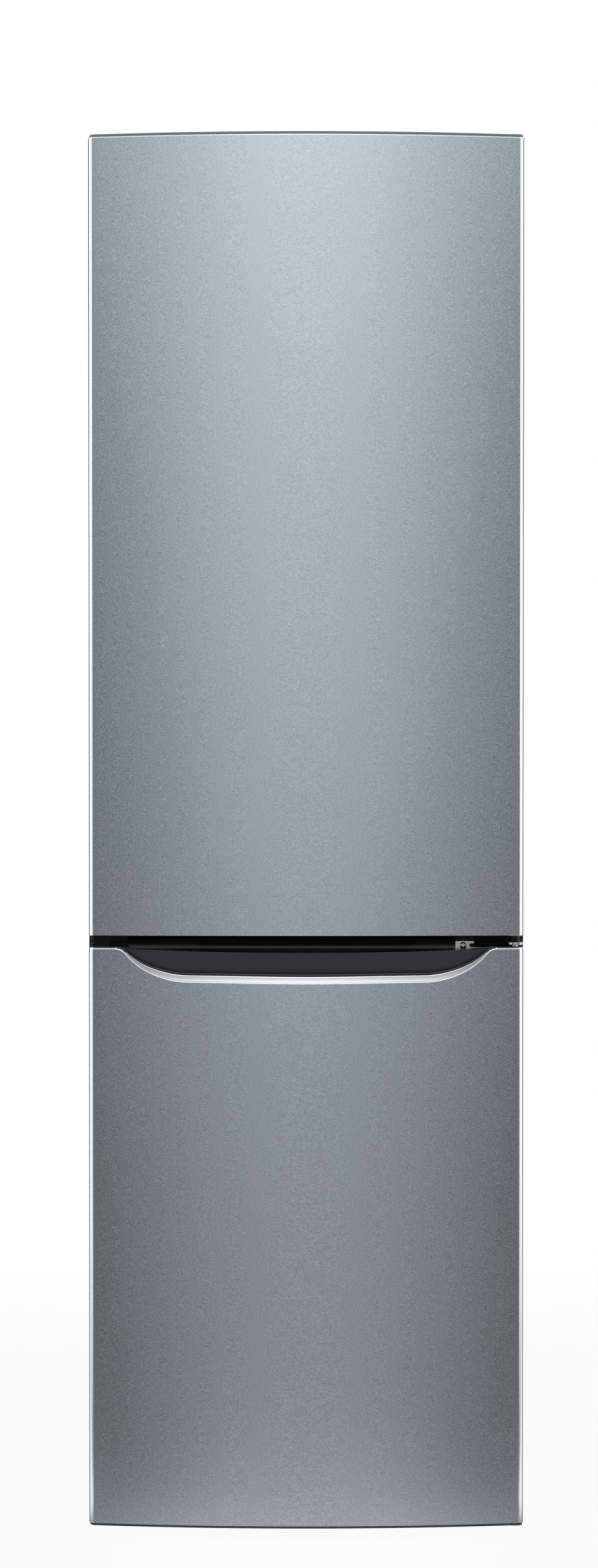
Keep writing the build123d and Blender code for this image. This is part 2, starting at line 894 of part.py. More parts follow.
# Three freezer drawers share the height left between the floor, the step and the ceiling
low_drawer_z0 = freezer_floor_z + drawer_floor_gap
low_drawer_z1 = step_z - drawer_gap
middle_drawer_z0 = step_z + drawer_floor_gap
upper_height = (freezer_ceiling_z - middle_drawer_z0) / 2
high_drawer_z0 = middle_drawer_z0 + upper_height
drawer_half = cavity_half - drawer_side_gap
drawer_bays = {
    "freezer_drawer_low": (low_drawer_z0, low_drawer_z1, step_y - drawer_rear_gap),
    "freezer_drawer_middle": (
        middle_drawer_z0,
        high_drawer_z0 - drawer_gap - ledge_height,
        evaporator_cover_y - drawer_rear_gap,
    ),
    "freezer_drawer_high": (
        high_drawer_z0,
        freezer_ceiling_z - drawer_gap,
        evaporator_cover_y - drawer_rear_gap,
    ),
}
freezer_tub_outer = freezer_tub(liner_wall)
with BuildPart() as freezer_liner:
    add(freezer_tub_outer)
    add(freezer_tub(0), mode=Mode.SUBTRACT)
    for rail_z, _, rail_back_y in drawer_bays.values():
        for side in (-1, 1):
            with Locations(
                (
                    side * (cavity_half - drawer_rail_width / 2),
                    (drawer_front_y + rail_back_y) / 2,
                    rail_z - ledge_height / 2,
                )
            ):
                Box(drawer_rail_width, rail_back_y - drawer_front_y, ledge_height)
save(freezer_liner, "freezer_liner")

with BuildPart() as insulation_foam:
    block(-shell_inner_x, shell_inner_x, foam_front_y, foam_back_y, floor_top_z, foam_top_z)
    block(
        -shell_inner_x,
        shell_inner_x,
        bay_front_y - tray_sheet,
        foam_back_y,
        floor_top_z,
        bay_top_z + tray_sheet,
        Mode.SUBTRACT,
    )
    add(fridge_tub_outer, mode=Mode.SUBTRACT)
    add(freezer_tub_outer, mode=Mode.SUBTRACT)
    for side in (-1, 1):
        post(side * foot_x, foot_y, floor_top_z, socket_top_z, socket_radius, Mode.SUBTRACT)
save(insulation_foam, "insulation_foam")


def open_tray(x0, x1, y0, y1, z0, z1, name):
    """A drawer: an open tray with rounded upright corners and a slot to pull it by."""
    with BuildPart() as tray:
        block(x0, x1, y0, y1, z0, z1)
        fillet(tray.edges().filter_by(Axis.Z), drawer_corner)
        offset(amount=-drawer_wall, openings=tray.faces().sort_by(Axis.Z)[-1])
        with BuildSketch(Plane.XZ.offset(-y0)):
            with Locations(((x0 + x1) / 2, z1 - handle_slot_drop)):
                SlotOverall(handle_slot_length, handle_slot_height)
        extrude(amount=-handle_slot_reach, mode=Mode.SUBTRACT)
    save(tray, name)


for drawer_name, (z0, z1, back_y) in drawer_bays.items():
    open_tray(-drawer_half, drawer_half, drawer_front_y, back_y, z0 + running_gap, z1, drawer_name)

crisper_outer = cavity_half - crisper_side_gap
crisper_inner = crisper_middle_gap / 2
crisper_front_y = shelf_front_y + crisper_front_gap
crisper_z0 = fridge_floor_z + running_gap
crisper_z1 = fridge_floor_z + crisper_height
open_tray(
    -crisper_outer, -crisper_inner, crisper_front_y, shelf_back_y, crisper_z0, crisper_z1, "crisper_left"
)
open_tray(
    crisper_inner, crisper_outer, crisper_front_y, shelf_back_y, crisper_z0, crisper_z1, "crisper_right"
)

# Glass shelves on their ledges, and the trims along their front edges
shelf_half = cavity_half - shelf_gap
for number, level in enumerate(shelf_levels, start=1):
    shelf_z = fridge_floor_z + level
    with BuildPart() as glass_shelf:
        block(-shelf_half, shelf_half, shelf_front_y, shelf_back_y, shelf_z, shelf_z + glass_thickness)
    save(glass_shelf, f"glass_shelf_{number}")

with BuildPart() as crisper_cover:
    block(
        -shelf_half,
        shelf_half,
        shelf_front_y,
        shelf_back_y,
        crisper_cover_z,
        crisper_cover_z + glass_thickness,
    )
save(crisper_cover, "crisper_cover")

with BuildPart() as shelf_trims:
    for rest_z in shelf_rests:
        block(
            -shelf_half,
            shelf_half,
            shelf_front_y - shelf_trim_depth,
            shelf_front_y,
            rest_z - shelf_trim_drop,
            rest_z - shelf_trim_drop + shelf_trim_height,
        )
    fillet(shelf_trims.edges().filter_by(Axis.X).group_by(Axis.Y)[0], shelf_trim_corner)
save(shelf_trims, "shelf_trims")


# Hinges: brackets with their pins
arm_x0 = hinge_x - hinge_arm_width / 2
arm_x1 = hinge_x + hinge_arm_width / 2
leaf_x0 = arm_x1 - hinge_leaf_width
arm_y0 = hinge_y - hinge_arm_width / 2
leaf_back_y = cabinet_front_y + hinge_leaf_depth
with BuildPart() as top_hinge:
    block(arm_x0, arm_x1, arm_y0, cabinet_front_y, cabinet_top_z, cabinet_top_z + hinge_plate)
    block(leaf_x0, arm_x1, cabinet_front_y, leaf_back_y, cabinet_top_z, cabinet_top_z + hinge_plate)
    fillet(top_hinge.edges().filter_by(Axis.Z).group_by(Axis.Y)[0], hinge_corner)
    post(hinge_x, hinge_y, fridge_top_z - pin_length, cabinet_top_z, pin_radius)
save(top_hinge, "top_hinge")

top_screw_z = cabinet_top_z + hinge_plate
cover_inner_z = top_screw_z + screw_head + running_gap
cover_front_y = cabinet_front_y - cover_margin
with BuildPart() as top_hinge_cover:
    block(
        leaf_x0 - cover_margin,
        half_width,
        cover_front_y,
        leaf_back_y + cover_margin,
        cabinet_top_z,
        cover_inner_z + cover_wall,
    )
    fillet(top_hinge_cover.edges().filter_by(Axis.Z), cover_corner)
    block(
        leaf_x0 - cover_margin + cover_wall,
        half_width - cover_wall,
        cover_front_y + cover_wall,
        leaf_back_y + cover_margin - cover_wall,
        cabinet_top_z,
        cover_inner_z,
        Mode.SUBTRACT,
    )
    block(
        arm_x0 - running_gap,
        arm_x1 + running_gap,
        cover_front_y,
        cabinet_front_y,
        cabinet_top_z,
        top_screw_z + running_gap,
        Mode.SUBTRACT,
    )
save(top_hinge_cover, "top_hinge_cover")

flange_y0 = cabinet_front_y - hinge_flange
flange_z0 = gasket_freezer_top_z + hinge_flange
flange_z1 = gasket_fridge_bottom_z - hinge_flange
middle_z0 = freezer_top_z + middle_plate_rise
middle_z1 = middle_z0 + middle_plate
screw_z = freezer_top_z + screw_rise
with BuildPart() as middle_hinge:
    block(leaf_x0, arm_x1, flange_y0, cabinet_front_y, flange_z0, flange_z1)
    block(
        leaf_x0 + slot_offset,
        leaf_x0 + slot_offset + slot_length,
        flange_y0,
        cabinet_front_y,
        screw_z - slot_half_height,
        screw_z + slot_half_height,
        Mode.SUBTRACT,
    )
    block(arm_x0, arm_x1, arm_y0, cabinet_front_y, middle_z0, middle_z1)
    fillet(middle_hinge.edges().filter_by(Axis.Z).group_by(Axis.Y)[0], hinge_corner)
    post(hinge_x, hinge_y, freezer_top_z - pin_length, fridge_bottom_z + pin_length, pin_radius)
    post(hinge_x, hinge_y, middle_z1, fridge_bottom_z - bush_flange - running_gap, collar_radius)
save(middle_hinge, "middle_hinge")

bottom_z1 = freezer_bottom_z - bush_flange - running_gap
bottom_z0 = bottom_z1 - hinge_flange
bottom_flange_z1 = freezer_bottom_z + gasket_floor_inset - hinge_flange
with BuildPart() as bottom_hinge:
    block(leaf_x0, arm_x1, flange_y0, cabinet_front_y, bottom_z0, bottom_flange_z1)
    block(arm_x0, arm_x1, arm_y0, cabinet_front_y, bottom_z0, bottom_z1)
    fillet(bottom_hinge.edges().filter_by(Axis.Z).group_by(Axis.Y)[0], hinge_corner)
    post(hinge_x, hinge_y, bottom_z1, freezer_bottom_z + pin_length, pin_radius)
save(bottom_hinge, "bottom_hinge")

bottom_screw_z = (cabinet_bottom_z + bottom_flange_z1) / 2
leaf_screws = (leaf_x0 + screw_inset, arm_x0 - screw_inset)
screw_y0 = flange_y0 - screw_head
drive_y1 = screw_y0 + screw_drive_depth
with BuildPart() as hinge_screws:
    for screw_x in leaf_screws:
        for row_z in (screw_z, bottom_screw_z):
            rod_along_y(screw_x, row_z, screw_y0, flange_y0, screw_radius)
            rod_along_y(screw_x, row_z, screw_y0, drive_y1, screw_drive, Mode.SUBTRACT)
        post(
            screw_x,
            cabinet_front_y + hinge_leaf_depth / 2,
            top_screw_z,
            top_screw_z + screw_head,
            screw_radius,
        )
save(hinge_screws, "hinge_screws")

with BuildPart() as hinge_blank_plugs:
    block(-arm_x1, -arm_x1 + plug_width, flange_y0, cabinet_front_y, flange_z0, flange_z1)
    fillet(hinge_blank_plugs.edges().filter_by(Axis.Y), plug_corner)
save(hinge_blank_plugs, "hinge_blank_plugs")


# Machine room: compressor on rubber mounts, condenser coil and slotted rear cover
compressor_x = -half_width + compressor_inset
compressor_y = (bay_front_y + foam_back_y) / 2
mount_top_z = floor_top_z + mount_height
shell_z0 = mount_top_z + compressor_plate
shell_z1 = shell_z0 + compressor_height
mount_places = [
    (compressor_x + sx * mount_spread_x / 2, compressor_y + sy * mount_spread_y / 2)
    for sx in (-1, 1)
    for sy in (-1, 1)
]
with BuildPart() as compressor:
    post(compressor_x, compressor_y, shell_z0, shell_z1, compressor_radius)
    fillet(compressor.edges().group_by(Axis.Z)[-1], compressor_crown)
    block(
        compressor_x - mount_spread_x / 2 - mount_radius,
        compressor_x + mount_spread_x / 2 + mount_radius,
        compressor_y - mount_spread_y / 2 - mount_radius,
        compressor_y + mount_spread_y / 2 + mount_radius,
        mount_top_z,
        shell_z0,
    )
    post(compressor_x, compressor_y, shell_z1 - compressor_crown, shell_z1 + stub_length, stub_radius)
    with Locations(*[(x, y, shell_z0) for x, y in mount_places]):
        Hole(mount_bolt_radius, compressor_plate)
save(compressor, "compressor")

with BuildPart() as compressor_mounts:
    for mount_x, mount_y in mount_places:
        post(mount_x, mount_y, floor_top_z, mount_top_z, mount_radius)
        post(mount_x, mount_y, mount_top_z, shell_z0 + mount_bolt_radius, mount_bolt_radius)
save(compressor_mounts, "compressor_mounts")

coil_start_x = half_width - coil_inset - coil_width
coil_front_y = compressor_y - coil_gap / 2
coil_top_z = floor_top_z + coil_start_z + coil_pitch * (coil_passes - 1)
with BuildPart() as condenser_coil:
    turns = [(coil_start_x, coil_front_y, floor_top_z)]
    for number in range(coil_passes):
        turn_z = floor_top_z + coil_start_z + coil_pitch * number
        ends = (coil_start_x, coil_start_x + coil_width)
        if number % 2:
            ends = ends[::-1]
        turns += [(ends[0], coil_front_y, turn_z), (ends[1], coil_front_y, turn_z)]
    turns += [(turns[-1][0], coil_front_y + coil_gap, coil_top_z)]
    turns += [(turns[-1][0], coil_front_y + coil_gap, floor_top_z)]
    with BuildLine() as coil_path:
        FilletPolyline(*turns, radius=coil_bend)
    with BuildSketch(Plane(turns[0], z_dir=(0, 0, 1))):
        Circle(coil_radius)
    sweep(path=coil_path.line)
save(condenser_coil, "condenser_coil")

rear_y = overall_depth / 2
cover_z0 = cabinet_bottom_z + cover_floor_gap
cover_half = half_width - running_gap
with BuildPart() as machine_cover:
    block(-cover_half, cover_half, cabinet_back_y, rear_y, cover_z0, bay_top_z)
    block(
        -cover_half + cover_wall,
        cover_half - cover_wall,
        cabinet_back_y,
        rear_y - cover_wall,
        cover_z0 + cover_wall,
        bay_top_z - cover_wall,
        Mode.SUBTRACT,
    )
    with BuildSketch(Plane.XZ.offset(-rear_y)):
        with Locations((0, (cover_z0 + bay_top_z) / 2)):
            with GridLocations(vent_pitch_x, vent_pitch_z, vent_columns, vent_rows):
                SlotOverall(vent_length, vent_height)
    extrude(amount=cover_wall, mode=Mode.SUBTRACT)
save(machine_cover, "machine_cover")


# Cold-air parts: finned evaporator behind its cover, fan and fridge duct
cover_back_y = evaporator_cover_y + cover_panel
fan_z = freezer_ceiling_z - fan_drop
collar_back_y = evaporator_cover_y + fan_collar_depth
fin_z0 = step_z + fin_floor_gap
fin_half = fin_pitch * (fin_count - 1) / 2
with BuildPart() as evaporator:
    for number in range(fin_count):
        fin_x = -fin_half + fin_pitch * number
        block(
            fin_x - fin_thickness / 2,
            fin_x + fin_thickness / 2,
            cavity_back_y - fin_depth,
            cavity_back_y,
            fin_z0,
            fin_z0 + fin_height,
        )
    for row in range(tube_rows):
        for column in range(tube_columns):
            tube_y = cavity_back_y - fin_depth * (2 * column + 1) / (2 * tube_columns)
            tube_z = fin_z0 + fin_height * (2 * row + 1) / (2 * tube_rows)
            rod_along_x(tube_y, tube_z, -fin_half - fin_pitch, fin_half + fin_pitch, tube_radius)
save(evaporator, "evaporator")

with BuildPart() as evaporator_cover:
    block(-cavity_half, cavity_half, evaporator_cover_y, cover_back_y, step_z, freezer_ceiling_z)
    rod_along_y(0, fan_z, cover_back_y, collar_back_y, fan_opening_radius + fan_collar_wall)
    rod_along_y(0, fan_z, evaporator_cover_y, collar_back_y, fan_opening_radius, Mode.SUBTRACT)
    with BuildSketch(Plane.XZ.offset(-cover_back_y)):
        with Locations((0, fin_z0 + fin_height / 2)):
            with GridLocations(louvre_length + louvre_pitch, louvre_pitch, 2, louvre_rows):
                SlotOverall(louvre_length, louvre_height)
    extrude(amount=cover_panel, mode=Mode.SUBTRACT)
save(evaporator_cover, "evaporator_cover")

rotor_y0 = evaporator_cover_y + fan_front_gap
rotor_y1 = rotor_y0 + fan_depth
motor_y0 = collar_back_y
with BuildPart() as fan_motor:
    rod_along_y(0, fan_z, motor_y0, motor_y0 + motor_length, motor_radius)
    with BuildSketch(Plane.XZ.offset(-motor_y0)):
        with Locations((0, fan_z)):
            with PolarLocations(0, motor_arms):
                with Locations(((fan_opening_radius + fan_collar_wall) / 2, 0)):
                    Rectangle(fan_opening_radius + fan_collar_wall, motor_arm_width)
    extrude(amount=-motor_arm_depth)
    rod_along_y(0, fan_z, rotor_y0, motor_y0, shaft_radius)
save(fan_motor, "fan_motor")

# One blade, rooted half-way into the hub, is copied round the fan
blade_root = fan_hub_radius / 2
blade_reach = fan_radius - blade_root
with BuildPart() as fan_blade:
    Box(blade_reach, fan_blade_thickness, fan_blade_width, rotation=(fan_blade_angle, 0, 0))

blade_x = blade_root + blade_reach / 2
fan_plane = Plane((0, (rotor_y0 + rotor_y1) / 2, fan_z), x_dir=(1, 0, 0), z_dir=(0, -1, 0))
with BuildPart() as fan_rotor:
    rod_along_y(0, fan_z, rotor_y0, rotor_y1, fan_hub_radius)
    with Locations(fan_plane):
        with PolarLocations(blade_x, fan_blades):
            add(fan_blade.part)
    rod_along_y(0, fan_z, rotor_y0, rotor_y1, fan_radius, Mode.INTERSECT)
    rod_along_y(0, fan_z, rotor_y0, rotor_y1, shaft_radius + pin_gap, Mode.SUBTRACT)
save(fan_rotor, "fan_rotor")

duct_z0 = fridge_floor_z + duct_floor_gap
duct_z1 = fridge_ceiling_z - duct_top_gap
with BuildPart() as air_duct:
    block(-duct_half_width, duct_half_width, duct_front_y, cavity_back_y, duct_z0, duct_z1)
    fillet(air_duct.edges().filter_by(Axis.Z).group_by(Axis.Y)[0], duct_corner)
    block(
        -duct_half_width + duct_wall,
        duct_half_width - duct_wall,
        duct_front_y + duct_wall,
        cavity_back_y,
        duct_z0 + duct_wall,
        duct_z1 - duct_wall,
        Mode.SUBTRACT,
    )
    with BuildSketch(Plane.XZ.offset(-duct_front_y)):
        with Locations((0, (duct_z0 + duct_z1) / 2)):
            with GridLocations(duct_vent_length, duct_vent_pitch, 1, duct_vent_rows):
                SlotOverall(duct_vent_length, duct_vent_height)
    extrude(amount=-duct_wall, mode=Mode.SUBTRACT)
save(air_duct, "air_duct")


# Lamp and controls under the fridge ceiling
lamp_y0 = cabinet_front_y + lamp_setback
with BuildPart() as lamp_lens:
    block(
        -lamp_width / 2,
        lamp_width / 2,
        lamp_y0,
        lamp_y0 + lamp_length,
        fridge_ceiling_z - lamp_depth,
        fridge_ceiling_z,
    )
    fillet(lamp_lens.edges().group_by(Axis.Z)[0], lamp_corner)
save(lamp_lens, "lamp_lens")

panel_y0 = cabinet_front_y + panel_setback
button_z = fridge_ceiling_z - panel_depth / 2
button_back_y = panel_y0 + button_length - button_proud
button_places = (-button_pitch / 2, button_pitch / 2)
with BuildPart() as control_panel:
    block(
        -panel_width / 2,
        panel_width / 2,
        panel_y0,
        panel_y0 + panel_length,
        fridge_ceiling_z - panel_depth,
        fridge_ceiling_z,
    )
    fillet(control_panel.edges().filter_by(Axis.X).group_by(Axis.Z)[0], panel_corner)
    for button_x in button_places:
        rod_along_y(
            button_x,
            button_z,
            panel_y0,
            button_back_y + button_travel + running_gap,
            button_radius + button_gap,
            Mode.SUBTRACT,
        )
save(control_panel, "control_panel")

for number, button_x in enumerate(button_places, start=1):
    with BuildPart() as control_button:
        rod_along_y(button_x, button_z, panel_y0 - button_proud, button_back_y, button_radius)
        fillet(control_button.edges().group_by(Axis.Y)[0], button_corner)
    save(control_button, f"control_button_{number}")
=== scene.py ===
"""Looks of a tall fridge freezer with bowed steel doors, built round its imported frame."""

import json
import logging
import math
from contextlib import contextmanager
from dataclasses import dataclass, field, replace
from enum import Enum
from typing import Callable, Iterator, Sequence

import bpy
from mathutils import Matrix, Vector


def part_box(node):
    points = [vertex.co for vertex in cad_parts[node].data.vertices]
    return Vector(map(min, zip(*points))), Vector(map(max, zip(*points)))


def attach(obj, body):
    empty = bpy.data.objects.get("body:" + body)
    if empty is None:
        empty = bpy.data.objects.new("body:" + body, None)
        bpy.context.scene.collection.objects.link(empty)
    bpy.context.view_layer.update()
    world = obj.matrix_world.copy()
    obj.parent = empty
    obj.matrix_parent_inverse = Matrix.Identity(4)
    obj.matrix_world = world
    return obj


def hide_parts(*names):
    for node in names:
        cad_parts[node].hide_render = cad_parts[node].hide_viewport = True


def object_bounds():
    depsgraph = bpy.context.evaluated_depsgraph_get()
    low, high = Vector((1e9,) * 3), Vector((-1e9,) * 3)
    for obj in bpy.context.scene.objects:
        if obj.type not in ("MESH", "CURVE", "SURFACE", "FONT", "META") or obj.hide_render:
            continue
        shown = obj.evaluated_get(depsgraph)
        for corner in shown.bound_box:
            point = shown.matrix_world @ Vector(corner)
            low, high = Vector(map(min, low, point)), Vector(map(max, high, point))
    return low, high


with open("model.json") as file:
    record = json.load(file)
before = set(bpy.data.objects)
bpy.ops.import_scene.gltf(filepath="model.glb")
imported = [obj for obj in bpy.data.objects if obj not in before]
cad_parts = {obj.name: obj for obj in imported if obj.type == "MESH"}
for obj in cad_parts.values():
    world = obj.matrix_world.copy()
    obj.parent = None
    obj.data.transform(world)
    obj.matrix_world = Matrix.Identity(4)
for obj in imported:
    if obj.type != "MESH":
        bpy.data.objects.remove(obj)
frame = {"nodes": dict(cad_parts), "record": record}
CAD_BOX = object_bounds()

LOG = logging.getLogger("fridge_freezer")
FRAME_WIDTH, FRAME_HEIGHT = 982, 2576
FRONT = CAD_BOX[0][1]

Triple = tuple[float, float, float]
Outline = Sequence[tuple[float, float]]
Piece = bpy.types.Object
Socket = bpy.types.NodeSocket
Test = Callable[[Vector, Vector], bool]

RIGHT, BACK, UP = (1.0, 0.0, 0.0), (0.0, 1.0, 0.0), (0.0, 0.0, 1.0)
WHITE = (1.0, 1.0, 1.0)
TOUCH, NEARBY = 1e-5, 1e-4
MERGE, MERGE_FINE = 1e-5, 1e-6
SQUARE, ALONG, FLUSH = 0.9, 0.99, 0.999
FULL_ROUND = 0.999
SMOOTH_DEGREES, SHARP_DEGREES = 38.0, 40.0


def faces_front(middle: Vector, normal: Vector) -> bool:
    """Tell a face that looks to the front."""
    return normal.y < -SQUARE


def stands_upright(middle: Vector, way: Vector) -> bool:
    """Tell an edge that stands upright."""
    return abs(way.z) > SQUARE


def runs_through(middle: Vector, way: Vector) -> bool:
    """Tell an edge that runs from front to back."""
    return abs(way.y) > SQUARE


class Pick(Enum):
    """What a selection takes: edges or faces."""

    EDGES = (False, True, False)
    FACES = (False, False, True)


class Pattern(Enum):
    """How a finish varies over a surface."""

    BRUSHED = "brushed"
    GRAINED = "grained"
    SPANGLED = "spangled"


class Bench:
    """Modelling moves that every piece is shaped with."""

    @staticmethod
    def clear() -> None:
        """Leave edit mode and drop every selection."""
        active = bpy.context.view_layer.objects.active
        if active is not None and active.mode != "OBJECT":
            bpy.ops.object.mode_set(mode="OBJECT")
        bpy.ops.object.select_all(action="DESELECT")

    @staticmethod
    def focus(piece: Piece) -> None:
        """Make one piece the only selected and active one.

        Args:
            piece: The piece to work on.
        """
        Bench.clear()
        piece.select_set(True)
        bpy.context.view_layer.objects.active = piece

    @staticmethod
    def settle(name: str) -> Piece:
        """Name a new primitive and put its place and size into its mesh.

        Args:
            name: Name of the piece and of its mesh.

        Returns:
            The piece, sitting at the origin.
        """
        piece = bpy.context.object
        piece.name = name
        piece.data.name = name
        bpy.ops.object.transform_apply(location=True, rotation=True, scale=True)
        return piece

    @staticmethod
    def block(name: str, low: Sequence[float], high: Sequence[float]) -> Piece:
        """Add a block between two corners, to be shaped further.

        Args:
            name: Name of the piece.
            low: Lowest corner in metres.
            high: Highest corner in metres.

        Returns:
            The new piece.
        """
        Bench.clear()
        middle = [(a + b) / 2 for a, b in zip(low, high)]
        size = [b - a for a, b in zip(low, high)]
        bpy.ops.mesh.primitive_cube_add(size=1.0, location=middle, scale=size)
        return Bench.settle(name)

    @staticmethod
    @contextmanager
    def editing(piece: Piece, pick: Pick, test: Test) -> Iterator[None]:
        """Edit a piece with only the faces or edges that pass a test selected.

        Args:
            piece: The piece to edit.
            pick: Whether faces or edges are tested.
            test: Takes a middle point and a normal or direction.

        Yields:
            Nothing; operators run inside the block.
        """
        Bench.focus(piece)
        bpy.context.tool_settings.mesh_select_mode = pick.value
        mesh = piece.data
        for items in (mesh.vertices, mesh.edges, mesh.polygons):
            items.foreach_set("select", [False] * len(items))
        if pick is Pick.FACES:
            for face in mesh.polygons:
                face.select = test(face.center, face.normal)
        else:
            for edge in mesh.edges:
                start, end = (mesh.vertices[i].co for i in edge.vertices)
                edge.select = test((start + end) / 2, (end - start).normalized())
        bpy.ops.object.mode_set(mode="EDIT")
        yield
        bpy.ops.object.mode_set(mode="OBJECT")

    @staticmethod
    @contextmanager
    def whole(piece: Piece) -> Iterator[None]:
        """Edit a piece with all of it selected.

        Args:
            piece: The piece to edit.

        Yields:
            Nothing; operators run inside the block.
        """
        with Bench.editing(piece, Pick.FACES, lambda middle, normal: True):
            bpy.ops.mesh.select_all(action="SELECT")
            yield

    @staticmethod
    def modify(piece: Piece, kind: str, **settings: object) -> None:
        """Add a modifier and apply it.

        Args:
            piece: The piece to change.
            kind: Type of the modifier.
            settings: Properties of the modifier.
        """
        Bench.focus(piece)
        modifier = piece.modifiers.new(kind.title(), kind)
        for key, value in settings.items():
            setattr(modifier, key, value)
        bpy.ops.object.modifier_apply(modifier=modifier.name)

    @staticmethod
    def thicken(piece: Piece, wall: float, offset: float = -1.0) -> None:
        """Give a sheet a wall, inwards unless the offset is 1."""
        Bench.modify(piece, "SOLIDIFY", thickness=wall, offset=offset, use_even_offset=True)

    @staticmethod
    def round_edges(piece: Piece, test: Test, width: float, segments: int) -> None:
        """Round the edges that pass a test.

        Args:
            piece: The piece to round.
            test: Picks the edges.
            width: Width of the rounding in metres.
            segments: Number of faces across the rounding.
        """
        with Bench.editing(piece, Pick.EDGES, test):
            bpy.ops.mesh.bevel(offset=width, segments=segments)

    @staticmethod
    def press(piece: Piece, test: Test, *steps: tuple[float, float], single: bool = False) -> None:
        """Inset the faces that pass a test, once for each step.

        Args:
            piece: The piece to press.
            test: Picks the faces.
            steps: Width and depth of each inset, in order.
            single: Whether every face gets an inset of its own.
        """
        with Bench.editing(piece, Pick.FACES, test):
            for width, depth in steps:
                bpy.ops.mesh.inset(thickness=width, depth=depth, use_individual=single)

    @staticmethod
    def remove_faces(piece: Piece, test: Test) -> None:
        """Open a piece where its faces pass a test."""
        with Bench.editing(piece, Pick.FACES, test):
            bpy.ops.mesh.delete(type="FACE")

    @staticmethod
    def smooth(piece: Piece, degrees: float = SMOOTH_DEGREES) -> None:
        """Shade a piece smooth, except over sharp edges.

        Args:
            piece: The piece to shade.
            degrees: Angle past which an edge stays sharp.
        """
        Bench.focus(piece)
        bpy.ops.object.shade_smooth_by_angle(angle=math.radians(degrees))
        Bench.modify(piece, "WEIGHTED_NORMAL", keep_sharp=True)

    @staticmethod
    def soften(piece: Piece, width: float, segments: int = 3, clamp: bool = True) -> None:
        """Round the sharp edges of a piece and shade it smooth.

        Args:
            piece: The piece to round.
            width: Width of the rounding in metres.
            segments: Number of faces across the rounding.
            clamp: Whether short edges hold the rounding back.
        """
        Bench.modify(
            piece, "BEVEL", width=width, segments=segments, limit_method="ANGLE",
            angle_limit=math.radians(SHARP_DEGREES), use_clamp_overlap=clamp,
        )
        with Bench.whole(piece):
            bpy.ops.mesh.dissolve_degenerate(threshold=MERGE_FINE)
            bpy.ops.mesh.delete_loose()
        Bench.smooth(piece)

    @staticmethod
    def cut(piece: Piece, cutter: Piece) -> None:
        """Take the shape of a cutter out of a piece, and delete the cutter."""
        Bench.modify(piece, "BOOLEAN", operation="DIFFERENCE", solver="EXACT", object=cutter)
        bpy.data.objects.remove(cutter)

    @staticmethod
    def keep(piece: Piece, other: Piece) -> None:
        """Keep only what a piece shares with another shape, and delete that shape."""
        Bench.modify(piece, "BOOLEAN", operation="INTERSECT", solver="EXACT", object=other)
        bpy.data.objects.remove(other)

    @staticmethod
    def join(name: str, pieces: Sequence[Piece]) -> Piece:
        """Join several shapes into one piece.

        Args:
            name: Name of the joined piece.
            pieces: The shapes, the first of which is kept.

        Returns:
            The joined piece.
        """
        Bench.focus(pieces[0])
        for piece in pieces[1:]:
            piece.select_set(True)
        bpy.ops.object.join()
        pieces[0].name = name
        pieces[0].data.name = name
        return pieces[0]

    @staticmethod
    def lean(piece: Piece, amount: float) -> None:
        """Move a block's upper front edge back, so that its front leans.

        Args:
            piece: The block.
            amount: How far the edge moves.
        """
        front = min(point.co.y for point in piece.data.vertices) + TOUCH
        top = max(point.co.z for point in piece.data.vertices) - TOUCH
        with Bench.editing(piece, Pick.EDGES, lambda middle, way: middle.y < front and middle.z > top):
            bpy.ops.transform.translate(value=(0.0, amount, 0.0))

    @staticmethod
    def copy(piece: Piece, name: str, place: Sequence[float]) -> Piece:
        """Copy a shape, with a mesh of its own, to a place.

        Args:
            piece: The shape, modelled at the origin.
            name: Name of the copy.
            place: Where its origin goes.

        Returns:
            The copy.
        """
        Bench.focus(piece)
        bpy.ops.object.duplicate()
        bpy.context.object.location = place
        return Bench.settle(name)

    @staticmethod
    def ribbon(
        name: str, columns: int, rows: int, place: Callable[[float, int], Sequence[float]]
    ) -> Piece:
        """Bend a grid into a closed strip with a section all along it.

        Args:
            name: Name of the strip.
            columns: Number of faces along the strip.
            rows: Number of points in its section.
            place: Gives a point's place from its share along the strip, -1 to 1, and its row.

        Returns:
            The strip.
        """
        crease_degrees = 50.0
        Bench.clear()
        bpy.ops.mesh.primitive_grid_add(x_subdivisions=columns, y_subdivisions=rows, size=1.0)
        strip = Bench.settle(name)
        for point in strip.data.vertices:
            point.co = place(2 * point.co.x, round((point.co.y + 0.5) * rows) % rows)
        with Bench.whole(strip):
            bpy.ops.mesh.remove_doubles(threshold=MERGE_FINE)
            bpy.ops.mesh.fill_holes(sides=0)
            bpy.ops.mesh.normals_make_consistent(inside=False)
        Bench.smooth(strip, crease_degrees)
        return strip

    @staticmethod
    def square_up(piece: Piece) -> None:
        """Merge doubled points and turn every face outwards.

        Args:
            piece: The piece to mend.
        """
        with Bench.whole(piece):
            bpy.ops.mesh.remove_doubles(threshold=MERGE)
            bpy.ops.mesh.normals_make_consistent(inside=False)


